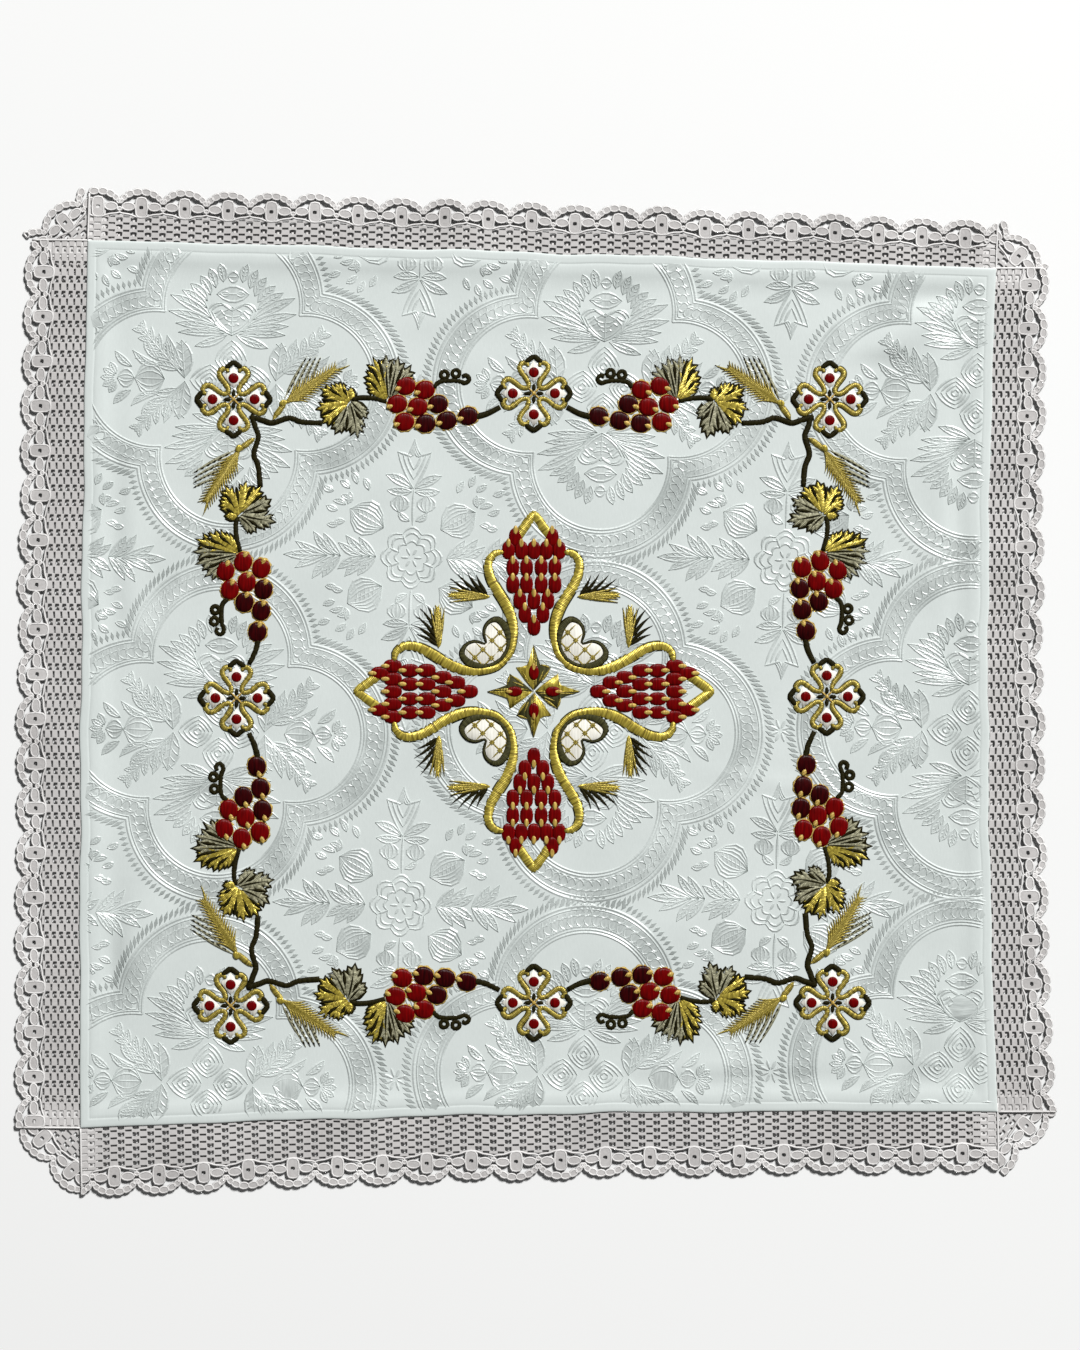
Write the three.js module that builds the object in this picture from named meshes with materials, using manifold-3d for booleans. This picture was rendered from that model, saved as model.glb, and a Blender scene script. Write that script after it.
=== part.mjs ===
// Altar cover: a hemmed white brocade square lying face up, a scalloped lace edging under its hem, and
// raised embroidery on its face. Millimetres, +Z up, +Y towards the cover's top edge.
import * as THREE from "three";
import { mergeVertices } from "three/addons/utils/BufferGeometryUtils.js";
import Module from "manifold-3d";

const wasm = await Module();
wasm.setup();

// Driving dimensions

const CLEARANCE = 0.3; // between two pieces that touch on the real cover
const LACE_THICKNESS = 1.0;
const CLOTH_THICKNESS = 1.5;
const STITCH_HEIGHT = 0.9; // how far the embroidery stands up
const LACE_UNDER_HEM = 8; // width of lace hidden under the hem
const LACE_REPEATS = 21; // scallops along one side
const WEB_REPEATS = 2; // scallops along the web that fills a corner

// The panel's corners as it lies, which is not quite square
const PANEL = {
  topLeft: new THREE.Vector2(-304, 307),
  topRight: new THREE.Vector2(313, 288),
  bottomRight: new THREE.Vector2(314, -285),
  bottomLeft: new THREE.Vector2(-309, -296),
};

// Each side runs clockwise. bow is how far its middle stands out, reach is how wide the lace shows.
const SIDES = [
  { from: PANEL.topLeft, to: PANEL.topRight, bow: 1, reachStart: 36, reachEnd: 32 },
  { from: PANEL.topRight, to: PANEL.bottomRight, bow: -6, reachStart: 36, reachEnd: 40 },
  { from: PANEL.bottomRight, to: PANEL.bottomLeft, bow: -4, reachStart: 41, reachEnd: 47 },
  { from: PANEL.bottomLeft, to: PANEL.topLeft, bow: 2, reachStart: 44, reachEnd: 42 },
];

// The panel's section from its edge inwards: lift of the underside, then the cloth's thickness there
const HEM_SECTION = [
  { inset: 0, lift: LACE_THICKNESS + CLEARANCE, thick: 1.6 },
  { inset: 4, lift: LACE_THICKNESS + CLEARANCE, thick: 2.2 },
  { inset: 8, lift: LACE_THICKNESS + CLEARANCE, thick: CLOTH_THICKNESS },
  { inset: 12, lift: LACE_THICKNESS + CLEARANCE, thick: CLOTH_THICKNESS },
  { inset: 20, lift: 0, thick: CLOTH_THICKNESS },
  { inset: 36, lift: 0, thick: CLOTH_THICKNESS },
  { inset: 52, lift: 0, thick: CLOTH_THICKNESS },
  { inset: 70, lift: 0, thick: CLOTH_THICKNESS },
];
const FIELD_CELLS = 4; // divisions of the flat field inside the last inset

// Soft ridges where the margin doesn't lie flat: crest's middle, its direction, and its size
const RIPPLES = [
  { x: 262, y: 250, turnDeg: 40, halfLength: 46, halfWidth: 15, height: 3.2 },
  { x: 284, y: 118, turnDeg: 86, halfLength: 60, halfWidth: 16, height: 1.6 },
  { x: 282, y: -225, turnDeg: 62, halfLength: 55, halfWidth: 15, height: 2.8 },
  { x: 120, y: -262, turnDeg: 4, halfLength: 70, halfWidth: 13, height: 1.5 },
  { x: -276, y: -172, turnDeg: 68, halfLength: 60, halfWidth: 16, height: 2.6 },
  { x: -278, y: 96, turnDeg: 92, halfLength: 70, halfWidth: 15, height: 1.4 },
];
const RIPPLE_STARTS = 20; // inset of the hem's inner side, where the ridges die out
const RIPPLE_ENDS = 70; // inset of the flat field, where they die out again
const RIPPLE_FADE = 14;

// One repeat of the lace's outer edge: place along the repeat, and depth in from the crest
const SCALLOP = [
  { along: 0.0, depth: 10.5 },
  { along: 0.13, depth: 4.2 },
  { along: 0.36, depth: 0.0 },
  { along: 0.64, depth: 0.0 },
  { along: 0.87, depth: 4.2 },
];

// The two largest gaps of each repeat, between the petals and the net, mirrored about the flower
const GAP_CORNERS = [
  { along: 0.13, depth: 14.2 },
  { along: 0.37, depth: 15.4 },
  { along: 0.35, depth: 18.0 },
  { along: 0.11, depth: 17.6 },
];

// The doubled lace at the end of each strip, where it folds back over the corner web
const PLEAT = { length: 11, height: 0.9, hemGap: 0.6, edgeInset: 11.5 };

// Embroidered border: centres of the eight roundels, clockwise from the top left corner
const ROUNDELS = [
  { name: "top_left", x: -205, y: 199 },
  { name: "top", x: -1, y: 203 },
  { name: "top_right", x: 200, y: 199 },
  { name: "right", x: 198, y: -3 },
  { name: "bottom_right", x: 202, y: -211 },
  { name: "bottom", x: -1, y: -211 },
  { name: "bottom_left", x: -207, y: -213 },
  { name: "left", x: -203, y: -4 },
];

// Half of one arm of a roundel, from the notch beside the centre to the arm's tip
const ROUNDEL_ARM = [
  { out: 3.8, side: 3.2 },
  { out: 10.4, side: 9.6 },
  { out: 15.2, side: 10.9 },
  { out: 21.0, side: 5.2 },
  { out: 26.9, side: 0 },
];
const ROUNDEL_KITE = { near: 8, middle: 13.5, far: 20.5, halfWidth: 5.5 };

// Vine: along runs from the corner roundel to the next one, out is towards the cover's edge
const VINE_LENGTH = 204;
const STEM_WIDTH = 4.4;
const VINE_STEM = [
  { along: 19, out: -14.2 },
  { along: 24, out: -16 },
  { along: 36, out: -12.6 },
  { along: 47, out: -16.5 },
  { along: 62, out: -16 },
  { along: 74, out: -8 },
  { along: 84, out: 0 },
  { along: 97, out: 1 },
  { along: 103, out: 5 },
];
const BUNCH_STEM = [
  { along: 160, out: -14.4 },
  { along: 170, out: -13.4 },
  { along: 178, out: -10.6 },
];
const LEAVES = [
  { along: 74, out: -8, halfLength: 18.5, halfWidth: 15.5, turnDeg: 125, lobes: 5 },
  { along: 106, out: 14, halfLength: 15.5, halfWidth: 13.5, turnDeg: 80, lobes: 5 },
];
const LEAF_LOBE_DEPTH = 0.24;
const WHEAT = { along: 28, out: -13, turnDeg: 33, length: 61, earStart: 13, halfWidth: 6.2, steps: 5 };
const GRAPE = { halfAlong: 6.5, halfOut: 5.9 };
const GRAPE_RIM = [
  { along: 117, out: 6.8 },
  { along: 130, out: 3.8 },
  { along: 138.6, out: -6 },
  { along: 157, out: -14.8 },
  { along: 144.5, out: -17.2 },
  { along: 130, out: -19 },
  { along: 115.6, out: -17.6 },
  { along: 111, out: -5.3 },
];

// Central cross: out runs along an arm from the cross's centre
const CROSS = { x: -1, y: 0.5 };
const DROP = { halfSide: 4.1, halfOut: 5.6 };
const DROP_RIM = [
  { side: 12.4, out: 104.5 },
  { side: 17.4, out: 96 },
  { side: 14.1, out: 84.4 },
  { side: 14.1, out: 72.8 },
  { side: 9.2, out: 62 },
  { side: 4.9, out: 52.8 },
];
const DROP_LAST = 44.4; // the single drop nearest the centre
const CHEVRON = { apex: 122, foot: 103, halfSpan: 14, width: 6 };
const SCROLL_WIDTH = 6.6;
const SCROLL = [
  { near: 24.5, far: 93 },
  { near: 29.6, far: 82.5 },
  { near: 25, far: 69.5 },
  { near: 18.4, far: 57.5 },
  { near: 13.2, far: 45.6 },
  { near: 12.4, far: 35.4 },
  { near: 15.4, far: 25.8 },
  { near: 20.6, far: 20.6 },
];
const SPRIG = { near: 27, far: 68, turnDeg: 14, length: 33, earStart: 2, halfWidth: 5.4, steps: 3 };
const BEAN = [
  { near: 21, far: 33 },
  { near: 18.5, far: 41 },
  { near: 20, far: 48.5 },
  { near: 26, far: 52 },
  { near: 31, far: 48 },
  { near: 32.5, far: 41 },
];
const BEAN_NOTCH = 36; // both coordinates of the notch between its two lobes
const BEAN_HEEL = 23.5; // both coordinates of its inner corner
const STAR = { tip: 30.5, shoulderOut: 15.6, shoulderSide: 11.4, notch: 8 };

const FACE = CLOTH_THICKNESS + CLEARANCE; // height of the embroidery's underside

// Materials

const cloth = (color, roughness, metalness = 0) =>
  new THREE.MeshStandardMaterial({ color, roughness, metalness });
const BROCADE = cloth(0xd9e0e2, 0.55);
const LACE = cloth(0xd0c9c7, 0.85);
const GOLD = cloth(0xb08f2e, 0.4, 0.35);
const OLIVE = cloth(0x33381f, 0.6);
const SCARLET = cloth(0xa50d12, 0.5);
const CLARET = cloth(0x5a070d, 0.5);

// Solid tools

const bare = (geometry) => {
  geometry.deleteAttribute("normal");
  geometry.deleteAttribute("uv");
  return mergeVertices(geometry, 1e-4);
};

const solid = (geometry) => {
  const merged = bare(geometry);
  return new wasm.Manifold(
    new wasm.Mesh({
      numProp: 3,
      vertProperties: new Float32Array(merged.attributes.position.array),
      triVerts: new Uint32Array(merged.index.array),
    }),
  );
};

const geometryOf = (manifold) => {
  const { vertProperties, triVerts } = manifold.getMesh();
  const geometry = new THREE.BufferGeometry();
  geometry.setAttribute("position", new THREE.BufferAttribute(vertProperties, 3));
  geometry.setIndex(new THREE.BufferAttribute(triVerts, 1));
  geometry.computeVertexNormals();
  return geometry;
};

// A plate of the given outline and holes, standing from bottom to bottom + height
const plate = (outline, bottom, height, holes = []) => {
  const clockwise = THREE.ShapeUtils.isClockWise(outline);
  const shape = new THREE.Shape(clockwise ? [...outline].reverse() : outline);
  shape.holes = holes.map((points) => new THREE.Path(points));
  const geometry = new THREE.ExtrudeGeometry(shape, { depth: height, bevelEnabled: false });
  return solid(geometry.translate(0, 0, bottom));
};

const stitched = (outline, holes = []) => plate(outline, FACE, STITCH_HEIGHT, holes);
const joined = (solids) => solids.reduce((whole, piece) => whole.add(piece));

// Outlines

const point = (x, y) => new THREE.Vector2(x, y);
const turned = (points, turnDeg, x, y) =>
  points.map((p) => p.clone().rotateAround(point(0, 0), THREE.MathUtils.degToRad(turnDeg)).add(point(x, y)));

// A bunch of like ovals whose centres run clockwise round its rim: the outer arc of each, with a valley
// between neighbours that stops VALLEY short of the line through their centres
const VALLEY = THREE.MathUtils.degToRad(25);
const ARC_STEPS = 3;
const bunchOutline = (centres, halfX, halfY) => {
  const next = (i) => centres[(i + 1) % centres.length];
  const outward = (i) => next(i).clone().sub(centres[i]).angle() + Math.PI / 2;
  return centres.flatMap((centre, i) => {
    const arriving = outward((i + centres.length - 1) % centres.length);
    const turn = THREE.MathUtils.euclideanModulo(outward(i) - arriving + Math.PI, 2 * Math.PI) - Math.PI;
    const opening = Math.PI / 2 - VALLEY;
    return Array.from({ length: ARC_STEPS + 1 }, (_, k) => {
      const angle = arriving + opening + ((turn - 2 * opening) * k) / ARC_STEPS;
      return point(centre.x + halfX * Math.cos(angle), centre.y + halfY * Math.sin(angle));
    });
  });
};

// A band of even width along a smooth line through the given points
const band = (through, width, steps) => {
  const line = new THREE.SplineCurve(through);
  const left = [];
  const right = [];
  for (let i = 0; i <= steps; i++) {
    const middle = line.getPointAt(i / steps);
    const across = line.getTangentAt(i / steps).rotateAround(point(0, 0), Math.PI / 2);
    left.push(middle.clone().addScaledVector(across, width / 2));
    right.push(middle.clone().addScaledVector(across, -width / 2));
  }
  return [...right, ...left.reverse()];
};

// A vine leaf: an oval whose edge swells into lobes, with a point at its far end
const leafOutline = ({ along, out, halfLength, halfWidth, turnDeg, lobes }) => {
  const points = [];
  const steps = lobes * 2;
  for (let i = 0; i < steps; i++) {
    const angle = (2 * Math.PI * i) / steps;
    const swell = 1 - LEAF_LOBE_DEPTH * (0.5 - 0.5 * Math.cos(lobes * angle));
    points.push(point(halfLength * swell * Math.cos(angle), halfWidth * swell * Math.sin(angle)));
  }
  return turned(points, turnDeg, along, out);
};

// A wheat ear on its stalk: saw-toothed on both sides, tapering to its tip
const wheatOutline = ({ turnDeg, length, earStart, halfWidth, steps }, x, y) => {
  const upper = [];
  const stalk = 1.3;
  for (let i = 0; i < steps; i++) {
    const from = earStart + ((length - earStart) * i) / steps;
    const next = earStart + ((length - earStart) * (i + 0.75)) / steps;
    const fullness = Math.sin((Math.PI * (i + 1.4)) / (steps + 1.8));
    upper.push(point(from, Math.max(stalk, 0.55 * halfWidth * fullness)));
    upper.push(point(next, halfWidth * fullness));
  }
  const lower = upper.map((p) => point(p.x, -p.y)).reverse();
  return turned([...lower, point(0, -stalk), point(0, stalk), ...upper, point(length, 0)], turnDeg, x, y);
};

// Brocade panel

// A side's point at the share t of its length, pushed out by the bow and by a further distance
const sidePoint = (side, t, distance) => {
  const along = side.to.clone().sub(side.from);
  const outwards = point(-along.y, along.x).normalize();
  const bow = 4 * side.bow * t * (1 - t);
  return side.from.clone().addScaledVector(along, t).addScaledVector(outwards, bow + distance);
};

// The panel's plan: its four bowed sides filled in between (a Coons patch), u to the right and v upwards
const panelPlan = (u, v) => {
  const [top, right, bottom, left] = SIDES;
  const across = sidePoint(bottom, 1 - u, 0).lerp(sidePoint(top, u, 0), v);
  const upwards = sidePoint(left, v, 0).lerp(sidePoint(right, 1 - v, 0), u);
  const low = PANEL.bottomLeft.clone().lerp(PANEL.bottomRight, u);
  const high = PANEL.topLeft.clone().lerp(PANEL.topRight, u);
  return across.add(upwards).sub(low.lerp(high, v));
};

const rippleHeight = (p, inset) => {
  const rise = THREE.MathUtils.smoothstep(inset, RIPPLE_STARTS, RIPPLE_STARTS + RIPPLE_FADE);
  const fall = 1 - THREE.MathUtils.smoothstep(inset, RIPPLE_ENDS - RIPPLE_FADE, RIPPLE_ENDS);
  const heights = RIPPLES.map(({ x, y, turnDeg, halfLength, halfWidth, height }) => {
    const local = p.clone().sub(point(x, y)).rotateAround(point(0, 0), -THREE.MathUtils.degToRad(turnDeg));
    return height * Math.exp(-((local.x / halfLength) ** 2) - (local.y / halfWidth) ** 2);
  });
  return rise * fall * heights.reduce((sum, h) => sum + h);
};

const hemAt = (inset) => HEM_SECTION.findLast((row) => inset >= row.inset - 1e-6);

const panelGeometry = () => {
  const insets = HEM_SECTION.map((row) => row.inset);
  const width = PANEL.topLeft.distanceTo(PANEL.topRight);
  const height = PANEL.topLeft.distanceTo(PANEL.bottomLeft);
  const deepest = insets.at(-1);
  const linesOver = (size) => {
    const field = Array.from({ length: FIELD_CELLS - 1 }, (_, i) =>
      THREE.MathUtils.lerp(deepest, size - deepest, (i + 1) / FIELD_CELLS),
    );
    return [...insets, ...field, ...insets.map((d) => size - d).reverse()];
  };
  const columns = linesOver(width);
  const rows = linesOver(height);
  const geometry = new THREE.BoxGeometry(1, 1, 1, columns.length - 1, rows.length - 1, 1);
  const places = geometry.attributes.position;
  for (let i = 0; i < places.count; i++) {
    const x = columns[Math.round((places.getX(i) + 0.5) * (columns.length - 1))];
    const y = rows[Math.round((places.getY(i) + 0.5) * (rows.length - 1))];
    const inset = Math.min(x, width - x, y, height - y);
    const hem = hemAt(inset);
    const plan = panelPlan(x / width, y / height);
    const top = places.getZ(i) > 0 ? hem.thick : 0;
    places.setXYZ(i, plan.x, plan.y, hem.lift + rippleHeight(plan, inset) + top);
  }
  geometry.computeVertexNormals();
  return geometry;
};

// Lace edging

const laceReach = (side, t) => THREE.MathUtils.lerp(side.reachStart, side.reachEnd, t);
const laceAt = (side, t, depth) => sidePoint(side, t, laceReach(side, t) - depth);

// One side's strip: scallops outside, the heading under the hem inside, two gaps cut in each repeat
const laceStrip = (side) => {
  const outer = [];
  const gaps = [];
  for (let i = 0; i < LACE_REPEATS; i++) {
    const place = ({ along, depth }) => laceAt(side, (i + along) / LACE_REPEATS, depth);
    outer.push(...SCALLOP.map(place));
    gaps.push(GAP_CORNERS.map(place));
    gaps.push(GAP_CORNERS.map(({ along, depth }) => place({ along: 1 - along, depth })));
  }
  outer.push(laceAt(side, 1, SCALLOP[0].depth));
  const headingSteps = 8;
  const heading = Array.from({ length: headingSteps + 1 }, (_, i) =>
    sidePoint(side, 1 - i / headingSteps, -LACE_UNDER_HEM),
  );
  return plate([...outer, ...heading], 0, LACE_THICKNESS, gaps);
};

// The web between the ends of two strips: its scallops run straight across the corner
const cornerWeb = (side, next) => {
  const start = laceAt(side, 1, 0);
  const end = laceAt(next, 0, 0);
  const along = end.clone().sub(start);
  const inwards = point(along.y, -along.x).normalize();
  const place = (step) => (row) =>
    start
      .clone()
      .addScaledVector(along, (step + row.along) / WEB_REPEATS)
      .addScaledVector(inwards, row.depth);
  const outer = Array.from({ length: WEB_REPEATS }, (_, i) => SCALLOP.map(place(i))).flat();
  const tuck = 0.06; // share of a side that the web reaches under each strip
  const under = [sidePoint(next, tuck / 2, -LACE_UNDER_HEM), sidePoint(side, 1 - tuck / 2, -LACE_UNDER_HEM)];
  return plate([...outer, end.addScaledVector(inwards, SCALLOP[0].depth), ...under], 0, LACE_THICKNESS);
};

// The folded end of a strip, one more layer of lace beside the hem
const pleat = (side, atStart) => {
  const share = PLEAT.length / side.from.distanceTo(side.to);
  const [near, far] = atStart ? [0, share] : [1 - share, 1];
  const outline = [
    sidePoint(side, near, PLEAT.hemGap),
    sidePoint(side, far, PLEAT.hemGap),
    laceAt(side, far, PLEAT.edgeInset),
    laceAt(side, near, PLEAT.edgeInset),
  ];
  return plate(outline, LACE_THICKNESS / 2, LACE_THICKNESS / 2 + PLEAT.height);
};

const laceGeometry = () => {
  const strips = SIDES.map(laceStrip);
  const webs = SIDES.map((side, i) => cornerWeb(side, SIDES[(i + 1) % SIDES.length]));
  const pleats = SIDES.flatMap((side) => [pleat(side, true), pleat(side, false)]);
  return geometryOf(joined([...strips, ...webs, ...pleats]));
};

// Embroidered border

const roundelGeometry = () => {
  const far = ROUNDEL_ARM.map(({ out, side }) => point(out, -side));
  const near = ROUNDEL_ARM.slice(0, -1).map(({ out, side }) => point(out, side));
  const arm = [...far, ...near.reverse()];
  const { near: inner, middle, far: tip, halfWidth } = ROUNDEL_KITE;
  const kite = [point(inner, 0), point(middle, -halfWidth), point(tip, 0), point(middle, halfWidth)];
  const quarters = [0, 90, 180, 270];
  const outline = quarters.flatMap((turn) => turned(arm, turn, 0, 0));
  const kites = quarters.map((turn) => turned(kite, turn, 0, 0));
  return geometryOf(stitched(outline, kites));
};

const grapeBunch = (grow) => {
  const centres = GRAPE_RIM.map(({ along, out }) => point(along, out));
  const berries = bunchOutline(centres, GRAPE.halfAlong + grow, GRAPE.halfOut + grow);
  const stem = BUNCH_STEM.map(({ along, out }) => point(along, out));
  return joined([stitched(berries), stitched(band(stem, STEM_WIDTH + 2 * grow, 4))]);
};

const vineSpray = () => {
  const stem = VINE_STEM.map(({ along, out }) => point(along, out));
  const spray = joined([
    stitched(band(stem, STEM_WIDTH, 11)),
    ...LEAVES.map((leaf) => stitched(leafOutline(leaf))),
    stitched(wheatOutline(WHEAT, WHEAT.along, WHEAT.out)),
  ]);
  return spray.subtract(grapeBunch(CLEARANCE));
};

// Central cross

const dropArm = (grow) => {
  const right = DROP_RIM.map(({ side, out }) => point(side, out));
  const left = DROP_RIM.map(({ side, out }) => point(-side, out)).reverse();
  const centres = [...right, point(0, DROP_LAST), ...left];
  const drops = bunchOutline(centres, DROP.halfSide + grow, DROP.halfOut + grow);
  const { apex, foot, halfSpan, width } = CHEVRON;
  const outer = [point(-halfSpan - grow, foot), point(0, apex + grow), point(halfSpan + grow, foot)];
  const inner = [point(halfSpan - width, foot), point(0, apex - width - 2), point(width - halfSpan, foot)];
  return joined([stitched(drops), stitched([...outer, ...inner])]);
};

// A line given on one side of a quarter's diagonal, carried on past it by its mirror image
const mirroredLine = (rows) => {
  const half = rows.map(({ near, far }) => point(near, far));
  const back = half.slice(0, -1).map((p) => point(p.y, p.x));
  return [...half, ...back.reverse()];
};

const crossScroll = (grow) => {
  const sprig = wheatOutline(SPRIG, SPRIG.near, SPRIG.far);
  const mirrored = sprig.map((p) => point(p.y, p.x));
  const ribbon = band(mirroredLine(SCROLL), SCROLL_WIDTH + 2 * grow, 18);
  return joined([ribbon, sprig, mirrored].map((outline) => stitched(outline)));
};

const crossBean = () => {
  const half = BEAN.map(({ near, far }) => point(near, far));
  const back = half.map((p) => point(p.y, p.x)).reverse();
  const middle = point(BEAN_NOTCH, BEAN_NOTCH);
  return stitched([point(BEAN_HEEL, BEAN_HEEL), ...half, middle, ...back]);
};

const starGeometry = () => {
  const { tip, shoulderOut, shoulderSide, notch } = STAR;
  const arm = [
    point(notch, -notch),
    point(shoulderOut, -shoulderSide),
    point(tip, 0),
    point(shoulderOut, shoulderSide),
  ];
  return geometryOf(stitched([0, 90, 180, 270].flatMap((turn) => turned(arm, turn, 0, 0))));
};

// Assembly

const cover = new THREE.Group();
const add = (parent, name, geometry, material) => {
  const mesh = new THREE.Mesh(geometry, material);
  mesh.name = name;
  parent.add(mesh);
  return mesh;
};

add(cover, "brocade_panel", panelGeometry(), BROCADE);
add(cover, "lace_edging", laceGeometry(), LACE);

const roundel = roundelGeometry();
ROUNDELS.forEach(({ name, x, y }) => {
  add(cover, `roundel_${name}`, roundel, GOLD).position.set(x, y, 0);
});

// Each corner roundel sends out two vines, one along each side that meets there
const spray = geometryOf(vineSpray());
const bunch = geometryOf(grapeBunch(0));
ROUNDELS.forEach((corner, i) => {
  if (!corner.name.includes("_")) return;
  const neighbours = [
    { middle: ROUNDELS[(i + 1) % ROUNDELS.length], facing: 1 },
    { middle: ROUNDELS[(i + ROUNDELS.length - 1) % ROUNDELS.length], facing: -1 },
  ];
  neighbours.forEach(({ middle, facing }) => {
    const run = point(middle.x - corner.x, middle.y - corner.y);
    const vine = new THREE.Group();
    vine.position.set(corner.x, corner.y, 0);
    vine.rotation.z = run.angle();
    vine.scale.set(run.length() / VINE_LENGTH, facing, 1);
    add(vine, `vine_${corner.name}_to_${middle.name}`, spray, GOLD);
    add(vine, `grapes_${corner.name}_to_${middle.name}`, bunch, CLARET);
    cover.add(vine);
  });
});

// The cross is four like quarters round one star
const cross = new THREE.Group();
cross.position.set(CROSS.x, CROSS.y, 0);
const arm = geometryOf(dropArm(0));
const scroll = geometryOf(
  crossScroll(0).subtract(dropArm(CLEARANCE)).subtract(dropArm(CLEARANCE).rotate([0, 0, -90])),
);
const bean = geometryOf(crossBean().subtract(crossScroll(CLEARANCE)));
["up", "left", "down", "right"].forEach((heading, i) => {
  const quarter = new THREE.Group();
  quarter.rotation.z = (i * Math.PI) / 2;
  add(quarter, `cross_drops_${heading}`, arm, SCARLET);
  add(quarter, `cross_scroll_${i + 1}`, scroll, GOLD);
  add(quarter, `cross_field_${i + 1}`, bean, OLIVE);
  cross.add(quarter);
});
add(cross, "cross_star", starGeometry(), GOLD);
cover.add(cross);

// The origin is under the middle of the whole cover
const bounds = new THREE.Box3().setFromObject(cover);
const middle = bounds.getCenter(new THREE.Vector3());
cover.position.set(-middle.x, -middle.y, -bounds.min.z);

export default cover;
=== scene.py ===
"""Altar cover dressed over its solids: a woven panel, its lace edging and its raised embroidery.

Shapes are worked out in millimetres, in plan, and are laid on the cover's face. They become metres only
when a mesh is written.
"""

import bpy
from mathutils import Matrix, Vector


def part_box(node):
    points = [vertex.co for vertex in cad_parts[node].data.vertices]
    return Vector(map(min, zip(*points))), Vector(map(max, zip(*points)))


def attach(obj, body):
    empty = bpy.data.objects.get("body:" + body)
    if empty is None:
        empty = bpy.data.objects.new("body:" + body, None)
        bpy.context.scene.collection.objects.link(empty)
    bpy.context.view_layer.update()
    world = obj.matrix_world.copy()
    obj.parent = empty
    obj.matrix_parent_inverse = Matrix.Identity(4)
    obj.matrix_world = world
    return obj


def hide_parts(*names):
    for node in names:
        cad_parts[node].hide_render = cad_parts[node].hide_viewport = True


bl_info = {
    "name": "Altar cover",
    "version": (1, 0, 0),
    "blender": (4, 5, 0),
    "location": "View3D > Sidebar > Altar cover",
    "description": "Builds a white brocade altar cover with a lace edging and gold and red embroidery",
    "category": "Add Mesh",
}

from collections import namedtuple

import bmesh
import bpy
import numpy as np

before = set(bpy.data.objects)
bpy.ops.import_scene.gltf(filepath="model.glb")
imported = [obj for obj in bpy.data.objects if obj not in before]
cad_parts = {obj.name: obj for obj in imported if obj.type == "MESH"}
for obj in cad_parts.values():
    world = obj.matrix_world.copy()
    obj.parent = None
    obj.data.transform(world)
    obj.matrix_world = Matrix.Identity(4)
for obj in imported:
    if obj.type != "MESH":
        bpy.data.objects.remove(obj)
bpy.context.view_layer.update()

MM = 0.001
WELD = 0.01  # points closer than this, in mm, are one point
BODY = "root"
UV_NAME = "thread_mm"

# Places taken from the solids


def plan_middle(node):
    """Middle of a solid's box in plan, in mm."""
    low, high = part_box(node)
    return np.array([low[0] + high[0], low[1] + high[1]]) / 2 / MM


DRAWN_CENTRE = (-1.0, 0.5)  # the cross's middle on the cover's own drawing
CENTRE = plan_middle("cross_star")
SHIFT = CENTRE - DRAWN_CENTRE  # from the drawing to the frame

CORNER_NAMES = ("top_left", "top_right", "bottom_right", "bottom_left")
MID_NAMES = ("top", "right", "bottom", "left")
ROUNDEL = {name: plan_middle("roundel_" + name) for name in CORNER_NAMES + MID_NAMES}

# The panel's corners as it lies, clockwise from the top left, and each side's bow
PANEL_CORNERS = np.array([(-304, 307), (313, 288), (314, -285), (-309, -296)], float) + SHIFT
SIDE_BOW = np.array([1.0, -6.0, -4.0, 2.0])

# Small waves along the sides: height, radians from corner to corner, and radians from one side to the next
SideWave = namedtuple("SideWave", "height length phase")
SIDE_WAVES = [SideWave(0.6, 33, 2), SideWave(0.35, 81, 1)]

# The hem's section by the distance in from the panel's edge: face and underside
HemRow = namedtuple("HemRow", "inset face under")
HEM = [
    HemRow(0.0, 2.5, 2.2),
    HemRow(0.5, 2.85, 2.1),
    HemRow(1.6, 3.0, 2.1),
    HemRow(5.4, 2.95, 2.1),
    HemRow(6.2, 2.72, 2.1),
    HemRow(7.0, 2.9, 2.1),
    HemRow(12.0, 2.7, 1.9),
    HemRow(17.0, 2.0, 0.9),
    HemRow(23.0, 1.5, 0.1),
    HemRow(70.0, 1.5, 0.1),
]
HEM_COLUMNS = HemRow(*np.array(HEM).T)

# Soft ridges and creases: the crest's middle and direction, half its length and width, and its height
Ridge = namedtuple("Ridge", "x y turn half_length half_width height")
MARGIN_RIDGES = [
    Ridge(262, 250, 40, 46, 15, 3.2),
    Ridge(284, 118, 86, 60, 16, 1.6),
    Ridge(282, -225, 62, 55, 15, 2.8),
    Ridge(120, -262, 4, 70, 13, 1.5),
    Ridge(-276, -172, 68, 60, 16, 2.6),
    Ridge(-278, 96, 92, 70, 15, 1.4),
]
FIELD_CREASES = [
    Ridge(163, -62, -12, 44, 5, 0.5),
    Ridge(-130, 120, 38, 70, 12, 0.5),
    Ridge(96, 150, -30, 80, 14, 0.5),
    Ridge(-150, -120, 58, 75, 13, 0.5),
    Ridge(120, -150, 22, 80, 15, 0.5),
    Ridge(-250, 10, 80, 60, 9, 0.5),
    Ridge(10, 255, 3, 90, 9, 0.5),
]
RIDGE_INSETS = (20.0, 34.0, 56.0, 70.0)  # where the margin's ridges rise from the hem and die out


def side_push(side, share):
    """How far a side stands out of the straight line between its corners: a parabola's bow, and two small
    waves that die out at the corners."""
    bow = 4 * SIDE_BOW[side] * share * (1 - share)
    waves = sum(wave.height * np.sin(wave.length * share + wave.phase * side) for wave in SIDE_WAVES)
    return bow + waves * np.sin(np.pi * share)


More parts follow.
